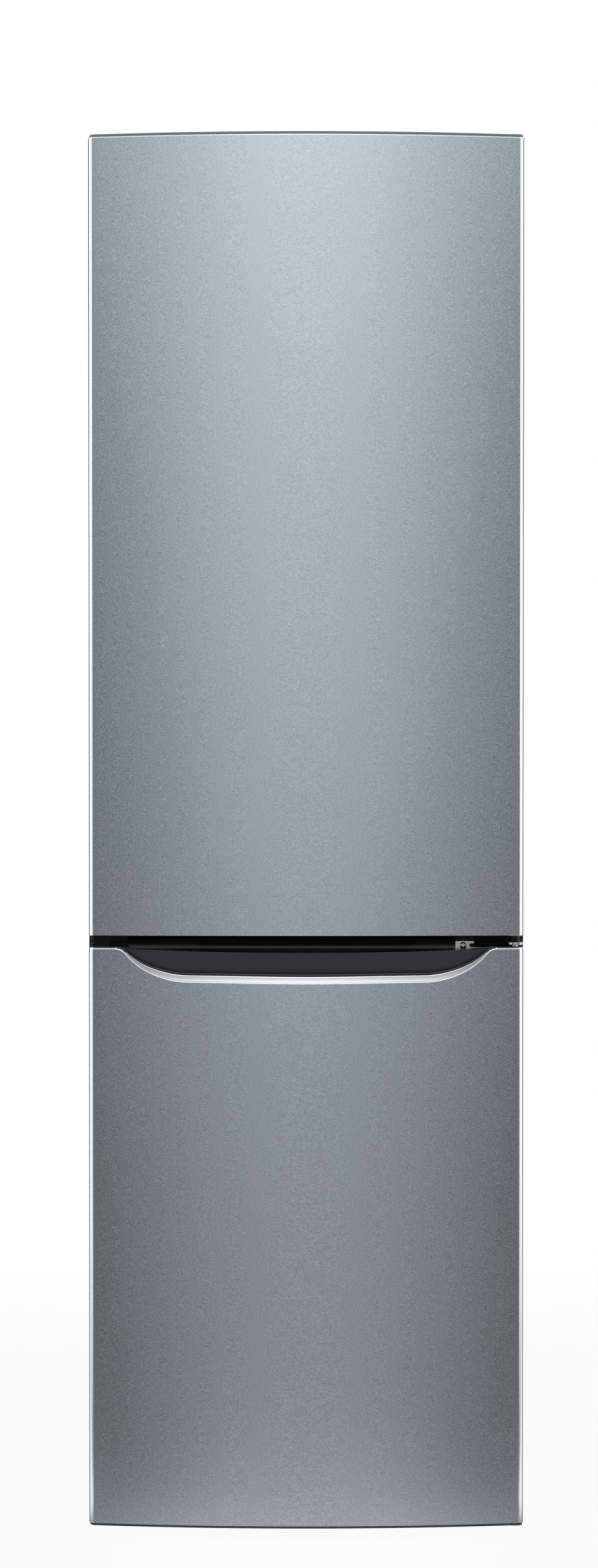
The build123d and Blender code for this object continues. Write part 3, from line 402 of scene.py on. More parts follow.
class Pen:
    """Draws a wire point by point: a start, straight runs and arcs."""

    def __init__(self, name: str, start: Sequence[float]) -> None:
        """Put down the first point.

        Args:
            name: Name of the piece the wire becomes.
            start: First point in metres.
        """
        Bench.clear()
        self.tip = Vector(start)
        bpy.ops.mesh.primitive_plane_add(size=0.01, location=start)
        self.piece = Bench.settle(name)
        bpy.ops.object.mode_set(mode="EDIT")
        bpy.context.tool_settings.mesh_select_mode = (True, False, False)
        bpy.ops.mesh.select_all(action="SELECT")
        bpy.ops.mesh.merge(type="CENTER")

    def line(self, *ends: Sequence[float]) -> "Pen":
        """Draw straight runs to one point after another.

        Args:
            ends: Where the runs end.

        Returns:
            The pen, for the next stroke.
        """
        for end in ends:
            step = Vector(end) - self.tip
            bpy.ops.mesh.extrude_region_move(TRANSFORM_OT_translate={"value": step})
            self.tip = Vector(end)
        return self

    def arc(self, centre: Sequence[float], degrees: float, axis: Triple, steps: int) -> "Pen":
        """Draw an arc round a centre, by the right-hand rule.

        Args:
            centre: Centre of the arc.
            degrees: Angle turned.
            axis: Axis of the turn.
            steps: Number of straight pieces in the arc.

        Returns:
            The pen, for the next stroke.
        """
        angle = math.radians(degrees)
        bpy.ops.mesh.spin(steps=steps, angle=-angle, center=centre, axis=axis)
        turn = Matrix.Rotation(angle, 3, Vector(axis))
        self.tip = Vector(centre) + turn @ (self.tip - Vector(centre))
        return self

    def pull(self, step: Triple) -> Piece:
        """Pull the whole wire into a sheet.

        Args:
            step: Direction and length of the pull.

        Returns:
            The sheet.
        """
        bpy.ops.mesh.select_all(action="SELECT")
        bpy.ops.mesh.extrude_region_move(TRANSFORM_OT_translate={"value": step})
        bpy.ops.object.mode_set(mode="OBJECT")
        Bench.square_up(self.piece)
        return self.piece

    def slab(self, step: Triple) -> Piece:
        """Close the wire, fill it and pull it into a solid.

        Args:
            step: Direction and length of the pull.

        Returns:
            The solid.
        """
        bpy.ops.mesh.select_all(action="SELECT")
        bpy.ops.mesh.remove_doubles(threshold=MERGE_FINE)
        bpy.ops.mesh.edge_face_add()
        return self.pull(step)

    def turn(self, centre: Sequence[float], axis: Triple, steps: int) -> Piece:
        """Turn the wire all the way round an axis into a lathed solid.

        Args:
            centre: A point on the axis.
            axis: The axis.
            steps: Number of faces round the solid.

        Returns:
            The solid.
        """
        bpy.ops.mesh.select_all(action="SELECT")
        bpy.ops.mesh.spin(steps=steps, angle=math.tau, center=centre, axis=axis)
        bpy.ops.object.mode_set(mode="OBJECT")
        Bench.square_up(self.piece)
        return self.piece

    @classmethod
    def turned(cls, name: str, foot: Triple, outline: Outline, steps: int) -> Piece:
        """Turn an outline round an upright axis.

        Args:
            name: Name of the piece.
            foot: Point on the axis that heights are taken from.
            outline: Distances from the axis and heights, one after another.
            steps: Number of faces round the piece.

        Returns:
            The turned piece, shaded smooth.
        """
        x, y, z = foot
        pen = cls(name, (x, y, z + outline[0][1]))
        piece = pen.line(*((x + out, y, z + up) for out, up in outline)).turn(foot, UP, steps)
        Bench.smooth(piece)
        return piece


def full(colour: Triple) -> tuple[float, float, float, float]:
    """Return a colour with full cover."""
    return (*colour, 1.0)


class Nodes:
    """Short hand for filling a node tree."""

    def __init__(self, tree: bpy.types.NodeTree) -> None:
        """Start on a tree, emptied first."""
        self.tree = tree
        tree.nodes.clear()

    def add(
        self, kind: str, inputs: dict[object, object] | None = None, **settings: object
    ) -> bpy.types.Node:
        """Add a node.

        Args:
            kind: Node type without its ShaderNode prefix.
            inputs: Socket values, or sockets to link from.
            settings: Properties of the node.

        Returns:
            The new node.
        """
        prefix = "" if kind.startswith("NodeGroup") else "ShaderNode"
        node = self.tree.nodes.new(prefix + kind)
        for key, value in settings.items():
            setattr(node, key, value)
        for socket, value in (inputs or {}).items():
            self.feed(node, socket, value)
        return node

    def feed(self, node: bpy.types.Node, socket: object, value: object) -> None:
        """Set a socket's value, or link it from another socket.

        Args:
            node: The node that takes the value.
            socket: Name or number of its input.
            value: A value, or the socket to link from.
        """
        if isinstance(value, Socket):
            self.tree.links.new(value, node.inputs[socket])
        else:
            node.inputs[socket].default_value = value

    def math(self, operation: str, *values: object) -> Socket:
        """Add a sum and return its result."""
        node = self.add("Math", dict(enumerate(values)), operation=operation)
        return node.outputs[0]

    def span(
        self, value: object, low: float, high: float, start: float, end: float, soft: bool = False
    ) -> Socket:
        """Carry a value from one range to another and return the result.

        Args:
            value: Socket to read.
            low: Value that becomes start.
            high: Value that becomes end.
            start: Result at low.
            end: Result at high.
            soft: Whether the ends are eased.

        Returns:
            The result socket.
        """
        node = self.add(
            "MapRange", {0: value, 1: low, 2: high, 3: start, 4: end},
            interpolation_type="SMOOTHSTEP" if soft else "LINEAR",
        )
        return node.outputs[0]

    def blend(self, factor: object, first: object, second: object) -> Socket:
        """Mix two colours.

        Args:
            factor: Share of the second colour.
            first: A colour, or the socket to link from.
            second: A colour, or the socket to link from.

        Returns:
            The result socket.
        """
        node = self.add("Mix", {0: factor}, data_type="RGBA")
        self.feed(node, 6, first)
        self.feed(node, 7, second)
        return node.outputs[2]


class Effects:
    """Surface effects shared by the finishes, each one a node group."""

    made: dict[str, bpy.types.NodeTree] = {}

    @classmethod
    def group(cls, name: str) -> bpy.types.NodeTree:
        """Return a shared group, built the first time it is asked for.

        Args:
            name: Name of the effect.

        Returns:
            The group's tree.
        """
        if name not in cls.made:
            tree = bpy.data.node_groups.new(name, "ShaderNodeTree")
            cls.made[name] = tree
            getattr(cls, name)(Nodes(tree), tree)
        return cls.made[name]

    @staticmethod
    def sockets(
        tree: bpy.types.NodeTree, takes: Sequence[tuple[str, str]], gives: Sequence[str]
    ) -> None:
        """Name a group's inputs and outputs.

        Args:
            tree: The group's tree.
            takes: Names and kinds of the inputs.
            gives: Names of the outputs, which are all values.
        """
        for label, kind in takes:
            tree.interface.new_socket(label, in_out="INPUT", socket_type="NodeSocket" + kind)
        for label in gives:
            tree.interface.new_socket(label, in_out="OUTPUT", socket_type="NodeSocketFloat")

    @staticmethod
    def grain(nodes: Nodes, tree: bpy.types.NodeTree) -> None:
        """Make fine grain at a stretched scale, and a slow drift over the whole surface.

        Args:
            nodes: The group's nodes.
            tree: The group's tree.
        """
        takes = (("Place", "Vector"), ("Stretch", "Vector"), ("Drift", "Float"))
        Effects.sockets(tree, takes, ("Fine", "Slow"))
        given = nodes.add("NodeGroupInput").outputs
        place = nodes.add("VectorMath", {0: given["Place"], 1: given["Stretch"]}, operation="MULTIPLY")
        fine = nodes.add(
            "TexNoise", {"Vector": place.outputs[0], "Scale": 1.0, "Detail": 1.5, "Roughness": 0.5}
        )
        slow = nodes.add("TexNoise", {"Vector": given["Place"], "Scale": given["Drift"], "Detail": 2.0})
        nodes.add("NodeGroupOutput", {"Fine": fine.outputs[0], "Slow": slow.outputs[0]})

    @staticmethod
    def spangle(nodes: Nodes, tree: bpy.types.NodeTree) -> None:
        """Make the crystal patches of a galvanised sheet.

        Args:
            nodes: The group's nodes.
            tree: The group's tree.
        """
        seam_width = 0.08
        Effects.sockets(tree, (("Place", "Vector"), ("Scale", "Float")), ("Patch", "Seam"))
        given = nodes.add("NodeGroupInput").outputs
        where = {"Vector": given["Place"], "Scale": given["Scale"]}
        cells = nodes.add("TexVoronoi", where)
        seams = nodes.add("TexVoronoi", where, feature="DISTANCE_TO_EDGE")
        split = nodes.add("SeparateColor", {0: cells.outputs["Color"]})
        seam = nodes.span(seams.outputs[0], 0.0, seam_width, 0.0, 1.0)
        nodes.add("NodeGroupOutput", {"Patch": split.outputs[0], "Seam": seam})


@dataclass(frozen=True)
class Finish:
    """One material of the object, and how it varies over a surface."""

    slot: str
    colour: Triple
    roughness: float
    pattern: Pattern = Pattern.GRAINED
    variant: str = ""
    metallic: float = 0.0
    grain: float = 0.0008
    streak: float = 6.0
    relief: float = 0.00002
    bump: float = 0.6
    tone: float = 0.04
    spread: float = 0.06
    drift: float = 0.4
    coat: float = 0.0
    coat_roughness: float = 0.12
    transmission: float = 0.0
    ior: float = 1.5
    glow: float = 0.0
    brushed_patches: float = 3.0
    grained_patches: float = 9.0
    mark_range: tuple[float, float] = (0.3, 0.7)

    def material(self) -> bpy.types.Material:
        """Build the finish's material the first time it is asked for.

        Returns:
            The material.
        """
        name = self.slot + self.variant + "_finish"
        found = bpy.data.materials.get(name)
        if found is not None:
            return found
        material = bpy.data.materials.new(name)
        material.use_nodes = True
        nodes = Nodes(material.node_tree)
        shader = nodes.add("BsdfPrincipled")
        nodes.add("OutputMaterial", {0: shader.outputs[0]})
        self.plain(nodes, shader)
        self.vary(nodes, shader)
        return material

    def plain(self, nodes: Nodes, shader: bpy.types.Node) -> None:
        """Set what is the same all over the surface.

        Args:
            nodes: The material's nodes.
            shader: The shader to set.
        """
        nodes.feed(shader, "Metallic", self.metallic)
        nodes.feed(shader, "Coat Weight", self.coat)
        nodes.feed(shader, "Coat Roughness", self.coat_roughness)
        nodes.feed(shader, "Transmission Weight", self.transmission)
        nodes.feed(shader, "IOR", self.ior)
        if self.glow:
            nodes.feed(shader, "Emission Color", full(self.colour))
            nodes.feed(shader, "Emission Strength", self.glow)

    def stretch(self) -> Triple:
        """Work out how many grain marks fit in a metre.

        Returns:
            The number along each axis.
        """
        fine = 1.0 / self.grain
        along = fine / self.streak if self.pattern is Pattern.BRUSHED else fine
        return along, along, fine

    def tint(self, share: float) -> tuple[float, float, float, float]:
        """Return the colour made lighter or darker by a share of itself."""
        return full(tuple(min(1.0, max(0.0, part * (1 + share))) for part in self.colour))

    def marks(self, nodes: Nodes, place: Socket) -> tuple[Socket, Socket]:
        """Place the pattern's group in the material.

        Args:
            nodes: The material's nodes.
            place: Socket with the place on the object.

        Returns:
            Two value sockets, for fine marks and for slow ones.
        """
        if self.pattern is Pattern.SPANGLED:
            group = nodes.add("Group", node_tree=Effects.group("spangle"))
            nodes.feed(group, "Place", place)
            nodes.feed(group, "Scale", 1.0 / self.grain)
            return group.outputs["Patch"], group.outputs["Seam"]
        brushed = self.pattern is Pattern.BRUSHED
        group = nodes.add("Group", node_tree=Effects.group("grain"))
        nodes.feed(group, "Place", place)
        nodes.feed(group, "Stretch", self.stretch())
        nodes.feed(group, "Drift", self.brushed_patches if brushed else self.grained_patches)
        return group.outputs["Fine"], group.outputs["Slow"]

    def vary(self, nodes: Nodes, shader: bpy.types.Node) -> None:
        """Let colour, roughness and relief follow the pattern.

        Args:
            nodes: The material's nodes.
            shader: The shader to feed.
        """
        fine, slow = self.marks(nodes, nodes.add("TexCoord").outputs["Object"])
        drift = nodes.math("MULTIPLY", slow, self.drift)
        both = nodes.math("MULTIPLY_ADD", fine, 1 - self.drift, drift)
        factor = nodes.span(both, *self.mark_range, 0.0, 1.0)
        nodes.feed(shader, "Base Color", nodes.blend(factor, self.tint(-self.tone), self.tint(self.tone)))
        low, high = max(0.0, self.roughness - self.spread), min(1.0, self.roughness + self.spread)
        nodes.feed(shader, "Roughness", nodes.span(fine, *self.mark_range, low, high))
        if self.relief:
            bump = nodes.add("Bump", {"Strength": self.bump, "Distance": self.relief, "Height": fine})
            nodes.feed(shader, "Normal", bump.outputs[0])


@dataclass(frozen=True)
class DoorSteel(Finish):
    """Brushed door sheet; its rounded upright edges are lightened, partly polish and partly a painted
    highlight, and its side returns are near-black, partly dark paint and partly a painted dark reflection.
    """

    edge_x: float = 0.2880
    edge_fade: float = 0.0010
    # lightened edge colour: polish, plus a painted highlight that widens the white band along the rounded
    # edges
    edge_polish_and_highlight_colour: Triple = (0.93, 0.95, 0.97)
    return_x: float = 0.2929
    return_fade: float = 0.0003
    # near-black returns: dark paint, and a painted dark reflection along the door's outline
    return_paint_and_dark_reflection_colour: Triple = (0.016, 0.018, 0.020)

    def plain(self, nodes: Nodes, shader: bpy.types.Node) -> None:
        """Take every reflection off the near-black returns, which are dark paint and a painted dark
        reflection.
        """
        super().plain(nodes, shader)
        nodes.feed(shader, "Specular IOR Level", 0.0)

    def vary(self, nodes: Nodes, shader: bpy.types.Node) -> None:
        """Add the lightened edges (polish and a painted highlight) and the near-black returns (dark paint
        and a painted dark reflection) to the brushed pattern.

        Args:
            nodes: The material's nodes.
            shader: The shader to feed.
        """
        super().vary(nodes, shader)
        place = nodes.add("TexCoord").outputs["Object"]
        across = nodes.math("ABSOLUTE", nodes.add("SeparateXYZ", {0: place}).outputs[0])
        edge = nodes.span(across, self.edge_x - self.edge_fade, self.edge_x, 0.0, 1.0)
        side = nodes.span(across, self.return_x - self.return_fade, self.return_x, 0.0, 1.0)
        steel = shader.inputs["Base Color"].links[0].from_socket
        # painted highlight: the rounded edges' base colour is lightened towards near-white, partly as
        # polish
        polish_and_painted_highlight = nodes.blend(edge, steel, full(self.edge_polish_and_highlight_colour))
        # painted dark reflection: the side returns turn near-black and non-metallic, partly as dark paint
        nodes.feed(shader, "Base Color", nodes.blend(side, polish_and_painted_highlight, full(self.return_paint_and_dark_reflection_colour)))
        nodes.feed(shader, "Metallic", nodes.span(side, 0.0, 1.0, self.metallic, 0.0))


STEEL = DoorSteel(
    "door_steel", (0.638, 0.690, 0.772), 0.25, Pattern.BRUSHED, metallic=1.0, grain=0.0010, streak=2.2,
    relief=0.000008, tone=0.18, spread=0.04, drift=0.06,
)
CAP = Finish("end_cap_grey", (0.17, 0.195, 0.20), 0.38)
POCKET = Finish("pocket_dark", (0.024, 0.029, 0.038), 0.26, grain=0.0012, relief=0.000006, coat=0.3)
LIP = Finish(
    "pocket_dark", (0.006, 0.0065, 0.008), 0.12, variant="_gloss", relief=0.0, spread=0.02, ior=1.6
)
TRIM = Finish(
    "bright_trim", (0.90, 0.905, 0.92), 0.14, metallic=1.0, grain=0.002, relief=0.0, tone=0.02, spread=0.03
)
LINER = Finish("white_liner", (0.80, 0.81, 0.82), 0.34, grain=0.0016, relief=0.00001, tone=0.015)
FOAM = Finish("insulation", (0.78, 0.66, 0.40), 0.85, grain=0.003, relief=0.0004, tone=0.12)
SEAL = Finish("gasket_rubber", (0.34, 0.35, 0.36), 0.62, grain=0.0012, relief=0.00003)
PAINT = Finish(
    "shell_paint", (0.36, 0.385, 0.41), 0.42, metallic=0.25, grain=0.0011, relief=0.00004, tone=0.03
)
HINGE = Finish("hinge_steel", (0.66, 0.66, 0.665), 0.24, metallic=1.0, grain=0.0009, relief=0.000006)
BLACK = Finish(
    "black_plastic", (0.007, 0.008, 0.011), 0.36, grain=0.0010, relief=0.00004, tone=0.10, ior=1.33
)
STRIP = Finish(
    "black_plastic", (0.003, 0.004, 0.006), 0.18, variant="_gloss", relief=0.000006, spread=0.05
)
ZINC = Finish(
    "galvanised", (0.52, 0.54, 0.56), 0.40, Pattern.SPANGLED, metallic=0.9, grain=0.009, relief=0.0,
    tone=0.05,
)
ENAMEL = Finish("compressor_black", (0.012, 0.012, 0.013), 0.22, grain=0.002, coat=0.5)
MOUNT = Finish("mount_rubber", (0.025, 0.025, 0.025), 0.75, grain=0.001)
COIL = Finish("coil_steel", (0.03, 0.03, 0.032), 0.40, grain=0.001)
FIN = Finish("fin_aluminium", (0.74, 0.75, 0.76), 0.35, Pattern.BRUSHED, metallic=1.0)
CLEAR = Finish(
    "clear_plastic", (0.93, 0.965, 0.98), 0.06, transmission=1.0, ior=1.46, grain=0.004, relief=0.000004,
    tone=0.01, spread=0.03,
)
GLASS = Finish(
    "shelf_glass", (0.86, 0.95, 0.92), 0.02, transmission=1.0, ior=1.46, grain=0.01, relief=0.0, tone=0.01,
    spread=0.01,
)
LAMP = Finish("lamp_diffuser", (0.95, 0.95, 0.92), 0.30, grain=0.003, glow=1.2)
NYLON = Finish("nylon", (0.70, 0.70, 0.66), 0.45, grain=0.0014)
BUTTON = Finish("button_grey", (0.24, 0.25, 0.27), 0.36, grain=0.0008)
FINISHES = {
    finish.slot: finish
    for finish in (
        STEEL, CAP, POCKET, TRIM, LINER, FOAM, SEAL, PAINT, HINGE, BLACK, ZINC, ENAMEL, MOUNT, COIL, FIN,
        CLEAR, GLASS, LAMP, NYLON, BUTTON,
    )
}


@dataclass
class SubAssembly:
    """Pieces that move with one body of the object."""

    body: str

    def fit(self, piece: Piece, finish: Finish, *nodes: str) -> Piece:
        """Dress a piece, let it ride on the body and stand for its nodes.

        Args:
            piece: The finished shape.
            finish: Its material.
            nodes: Nodes that the piece takes the place of.

        Returns:
            The piece.
        """
        piece.data.materials.clear()
        piece.data.materials.append(finish.material())
        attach(piece, self.body)
        if nodes:
            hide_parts(*nodes)
        LOG.info("%s rides on %s: %d faces", piece.name, self.body, len(piece.data.polygons))
        return piece


BOW_DEPTH = 0.020
BOW_STEPS, CORNER_STEPS, BAND_STEPS = 48, 12, 40
LEAST_CORNER = 0.001


@dataclass
class Bow:
    """Plan of a bowed door front with rounded upright edges."""

    half: float
    front: float
    radius: float
    back: float
    corner: float = 0.008

    @classmethod
    def of(cls, node: str) -> "Bow":
        """Read a door's plan from its skin."""
        low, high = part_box(node)
        return cls(high.x, low.y, (high.x**2 + BOW_DEPTH**2) / (2 * BOW_DEPTH), high.y)

    @property
    def middle(self) -> float:
        """Depth of the bow's centre."""
        return self.front + self.radius

    def inset(self, amount: float) -> "Bow":
        """Return the plan taken in by an amount on the front and sides."""
        corner = max(self.corner - amount, LEAST_CORNER)
        return Bow(self.half - amount, self.front + amount, self.radius - amount, self.back, corner)

    def depth_at(self, x: float) -> float:
        """Return the front's place in depth at a place across it."""
        return self.middle - math.sqrt(self.radius**2 - x**2)

    def draw(self, name: str, z: float) -> Pen:
        """Draw the plan at a height, from the left back to the right back.

        Args:
            name: Name of the piece the plan becomes.
            z: Height of the plan.

        Returns:
            The pen, with the wire drawn.
        """
        across = self.half - self.corner
        rise = math.sqrt((self.radius - self.corner) ** 2 - across**2)
        corner_y = self.middle - rise
        swing = math.degrees(math.atan2(across, rise))
        pen = Pen(name, (-self.half, self.back, z))
        pen.line((-self.half, corner_y, z))
        pen.arc((-across, corner_y, z), 90 - swing, UP, CORNER_STEPS)
        pen.arc((0.0, self.middle, z), 2 * swing, UP, BOW_STEPS)
        pen.arc((across, corner_y, z), 90 - swing, UP, CORNER_STEPS)
        return pen.line((self.half, self.back, z))

    def fill(self, name: str, low: float, high: float) -> Piece:
        """Make a solid of the whole plan between two heights."""
        pen = self.draw(name, low).line((-self.half, self.back, low))
        return pen.slab((0.0, 0.0, high - low))

    def band(self, name: str, half: float, near: float, far: float, low: float, high: float) -> Piece:
        """Make a bowed solid between two depths behind the front.

        Args:
            name: Name of the solid.
            half: Half its width.
            near: Depth of its front behind the door's front.
            far: Depth of its back behind the door's front.
            low: Its lower end.
            high: Its upper end.

        Returns:
            The solid.
        """
        ends = [self.radius - near, self.radius - far]
        swings = [math.asin(half / radius) for radius in ends]
        depths = [self.middle - radius * math.cos(swing) for radius, swing in zip(ends, swings)]
        centre = (0.0, self.middle, low)
        pen = Pen(name, (-half, depths[0], low))
        pen.arc(centre, 2 * math.degrees(swings[0]), UP, BAND_STEPS)
        pen.line((half, depths[1], low))
        pen.arc(centre, -2 * math.degrees(swings[1]), UP, BAND_STEPS)
        return pen.line((-half, depths[0], low)).slab((0.0, 0.0, high - low))


@dataclass
class ScoopCurve:
    """Front view of one edge of the hand scoop, as a drop below the door's top."""

    depth: float
    bend_degrees: float = 43.0
    half: float = 0.257
    shoulder: float = 0.0185
    shoulder_degrees: float = 43.0
    sag: float = 0.0020
    sag_reach: float = 0.185
    sag_end: float = 0.245
    skirt: float = 0.0
    skirt_flat: float = 0.159
    skirt_run: float = 0.085
    skirt_power: float = 0.7

    def __post_init__(self) -> None:
        """Work out where the shoulder ends and the flat begins."""
        angle, bend = math.radians(self.shoulder_degrees), math.radians(self.bend_degrees)
        self.tip = self.half - self.shoulder * math.sin(angle)
        self.tip_drop = self.shoulder * (1 - math.cos(angle))
        self.bend = (self.depth - self.tip_drop) / (1 - math.cos(bend))
        self.flat = self.tip - self.bend * math.sin(bend)

    def drop_at(self, x: float) -> float:
        """Work out how far the edge lies below the door's top.

        Args:
            x: Place across the door.

        Returns:
            The drop in metres.
        """
        away = abs(x)
        if away <= self.flat:
            drop = self.depth
        elif away <= self.tip:
            drop = self.depth - self.bend + math.sqrt(self.bend**2 - (away - self.flat) ** 2)
        else:
            reach = self.half - min(away, self.half)
            drop = self.shoulder - math.sqrt(self.shoulder**2 - reach**2)
        return max(drop - self.sag_at(away) + self.skirt_at(away), 0.0)

    def sag_at(self, away: float) -> float:
        """Work out how much the edge rises from the middle towards its bends.

        Args:
            away: Distance from the middle.

        Returns:
            The rise in metres.
        """
        if away < self.sag_reach:
            return self.sag * math.sin(math.pi / 2 * away / self.sag_reach) ** 2
        share = min((away - self.sag_reach) / (self.sag_end - self.sag_reach), 1.0)
        return self.sag * math.cos(math.pi / 2 * share) ** 2

    def skirt_at(self, away: float) -> float:
        """Return how much the edge is lowered, least at the ends."""
        share = min(max((away - self.skirt_flat) / self.skirt_run, 0.0), 1.0)
        return self.skirt * (1 - share**2) ** self.skirt_power

    def slab(
        self, name: str, top: float, near: float, far: float, above: float = 0.02, steps: int = 150
    ) -> Piece:
        """Make a solid of the scoop's outline, open above, to cut with.

        Args:
            name: Name of the solid.
            top: Height of the door's top.
            near: Front end in depth.
            far: Rear end in depth.
            above: How far it reaches over the top.
            steps: Number of straight pieces along the edge.

        Returns:
            The solid.
        """
        places = [self.half * (2 * step / steps - 1) for step in range(steps + 1)]
        start, end = (-self.half, near, top + above), (self.half, near, top + above)
        pen = Pen(name, start).line(*((x, near, top - self.drop_at(x)) for x in places))
        return pen.line(end, start).slab((0.0, far - near, 0.0))


SCOOP_EDGE = ScoopCurve(0.0385)
SCOOP_SKIRT = replace(SCOOP_EDGE, skirt=0.0077)
LIP_RUN = 0.105


@dataclass
class DoorFront(SubAssembly):
    """Bowed steel sheet of a door, with rolled ends."""

    node: str
    low: float = 0.0
    high: float = 0.0
    sheet: float = 0.0056
    roll: float = 0.0026
    foot_roll: float = 0.0004

    def build(self) -> None:
        """Draw the plan, pull it up and round its ends."""
        bow = Bow.of(self.node)
        pen = bow.draw(self.node.replace("skin", "front"), self.low)
        front = pen.pull((0.0, 0.0, self.high - self.low))
        Bench.thicken(front, self.sheet)
        with Bench.editing(front, Pick.FACES, lambda middle, normal: normal.z < -SQUARE):
            bpy.ops.mesh.region_to_loop()
            bpy.ops.mesh.bevel(offset=self.foot_roll, segments=3)
        self.open_up(front, bow)
        Bench.soften(front, self.roll, 5, clamp=False)
        self.fit(front, STEEL, self.node)

    def open_up(self, front: Piece, bow: Bow) -> None:
        """Leave a plain door whole."""


@dataclass
class ScoopedFront(DoorFront):
    """Door sheet with the hand scoop cut out of its top, and the scoop's bright trim."""

    trim_node: str = "freezer_handle_trim"
    top: float = 0.797
    edge: ScoopCurve = field(default_factory=lambda: SCOOP_EDGE)
    skirt: ScoopCurve = field(default_factory=lambda: SCOOP_SKIRT)
    cut_before: float = 0.010
    cut_behind: float = 0.035
    trim_columns: int = 180
    trim_end: float = 0.0005
    trim_tuck: float = 0.0011
    trim_lead: float = 0.0005
    trim_back: float = 0.0044
    trim_foot: float = 0.215
    trim_head: float = 0.03
    trim_under: float = 0.12
    head_rises: tuple[Triple, ...] = ((1.0, 1.0, 0.0010), (0.982, 0.98, 0.0004), (0.94, 0.94, 0.00008))
    face_rises: tuple[float, ...] = (0.88, 0.76, 0.64, 0.52, 0.40, 0.28, 0.16, 0.04)
    ease_start: float = 0.150
    ease_run: float = 0.080
    ease_drop: float = 0.8

    def open_up(self, front: Piece, bow: Bow) -> None:
        """Cut the scoop out of the sheet and set the trim along it.

        Args:
            front: The door sheet.
            bow: Its plan.
        """
        near, far = bow.front - self.cut_before, bow.front + self.cut_behind
        Bench.cut(front, self.skirt.slab("scoop_cutter", self.top, near, far))
        self.trim(bow)

    def trim(self, bow: Bow) -> None:
        """Lay a hollow bright strip between the scoop's edge and the sheet.

        Args:
            bow: Plan of the door.
        """
        section = self.section()
        reach = self.skirt.skirt_flat + self.skirt.skirt_run - self.trim_end

        def place(share: float, row: int) -> Triple:
            """Put a point of the section beside the scoop's edge.

            Args:
                share: Share along the strip, -1 to 1.
                row: Number of the point in the section.

            Returns:
                The point.
            """
            x = reach * share
            rise, inward = section[row]
            width = self.skirt.skirt_at(abs(x)) + self.trim_tuck
            if inward < self.trim_back:
                lean = width / (self.skirt.skirt + self.trim_tuck) * self.ease_at(abs(x))
                inward = self.trim_lead + (inward - self.trim_lead) * lean
            return x, bow.depth_at(x) + inward, self.top - self.edge.drop_at(x) - width * (1 - rise)

        strip = Bench.ribbon("freezer_handle_strip", self.trim_columns, len(section), place)
        self.fit(strip, TRIM, self.trim_node)

    def section(self) -> list[tuple[float, float]]:
        """Draw the strip's section.

        Returns:
            Shares of the strip's width and depths behind the front.
        """
        head = [(rise, self.hollow_at(level) + back) for rise, level, back in self.head_rises]
        face = [(rise, self.hollow_at(rise)) for rise in self.face_rises]
        foot = [(-self.trim_under, self.trim_lead), (-self.trim_under, self.trim_back)]
        return [(1.0, self.trim_back), *head, *face, *foot]

    def ease_at(self, away: float) -> float:
        """Return how much of its lean the strip keeps, least at its ends."""
        share = min(max((away - self.ease_start) / self.ease_run, 0.0), 1.0)
        return 1 - self.ease_drop * share**2 * (3 - 2 * share)

    def hollow_at(self, rise: float) -> float:
        """Return the strip's depth behind the front at a share of its height."""
        lean = self.trim_foot * rise - (self.trim_foot - self.trim_head) / 2 * rise**2
        return self.trim_lead + (self.skirt.skirt + self.trim_tuck) * lean


@dataclass
class DoorCap(SubAssembly):
    """Moulded end cap of a door, set a little inside the sheet."""

    node: str
    low: float = 0.0
    high: float = 0.0
    inset: float = 0.0045
    edge: float = 0.0009
    finish: Finish = POCKET

    def build(self) -> None:
        """Fill the plan, shape it and round its edges."""
        bow = Bow.of(self.body + "_skin")
        cap = bow.inset(self.inset).fill(self.node + "_moulding", self.low, self.high)
        self.shape(cap, bow)
        Bench.soften(cap, self.edge, 4, clamp=False)
        self.fit(cap, self.finish, self.node)

    def shape(self, cap: Piece, bow: Bow) -> None:
        """Leave a plain cap whole."""


@dataclass
class GripCap(DoorCap):
    """Bottom cap of the fridge door, with a finger grip under it."""

    grip_half: float = 0.150
    grip_under: float = 0.01
    grip_rise: float = 0.020
    grip_near: float = 0.009
    grip_far: float = 0.036

    def shape(self, cap: Piece, bow: Bow) -> None:
        """Sink the grip into the cap from below.

        Args:
            cap: The cap.
            bow: Plan of the door.
        """
        low, high = self.low - self.grip_under, self.low + self.grip_rise
        Bench.cut(cap, bow.band("grip", self.grip_half, self.grip_near, self.grip_far, low, high))


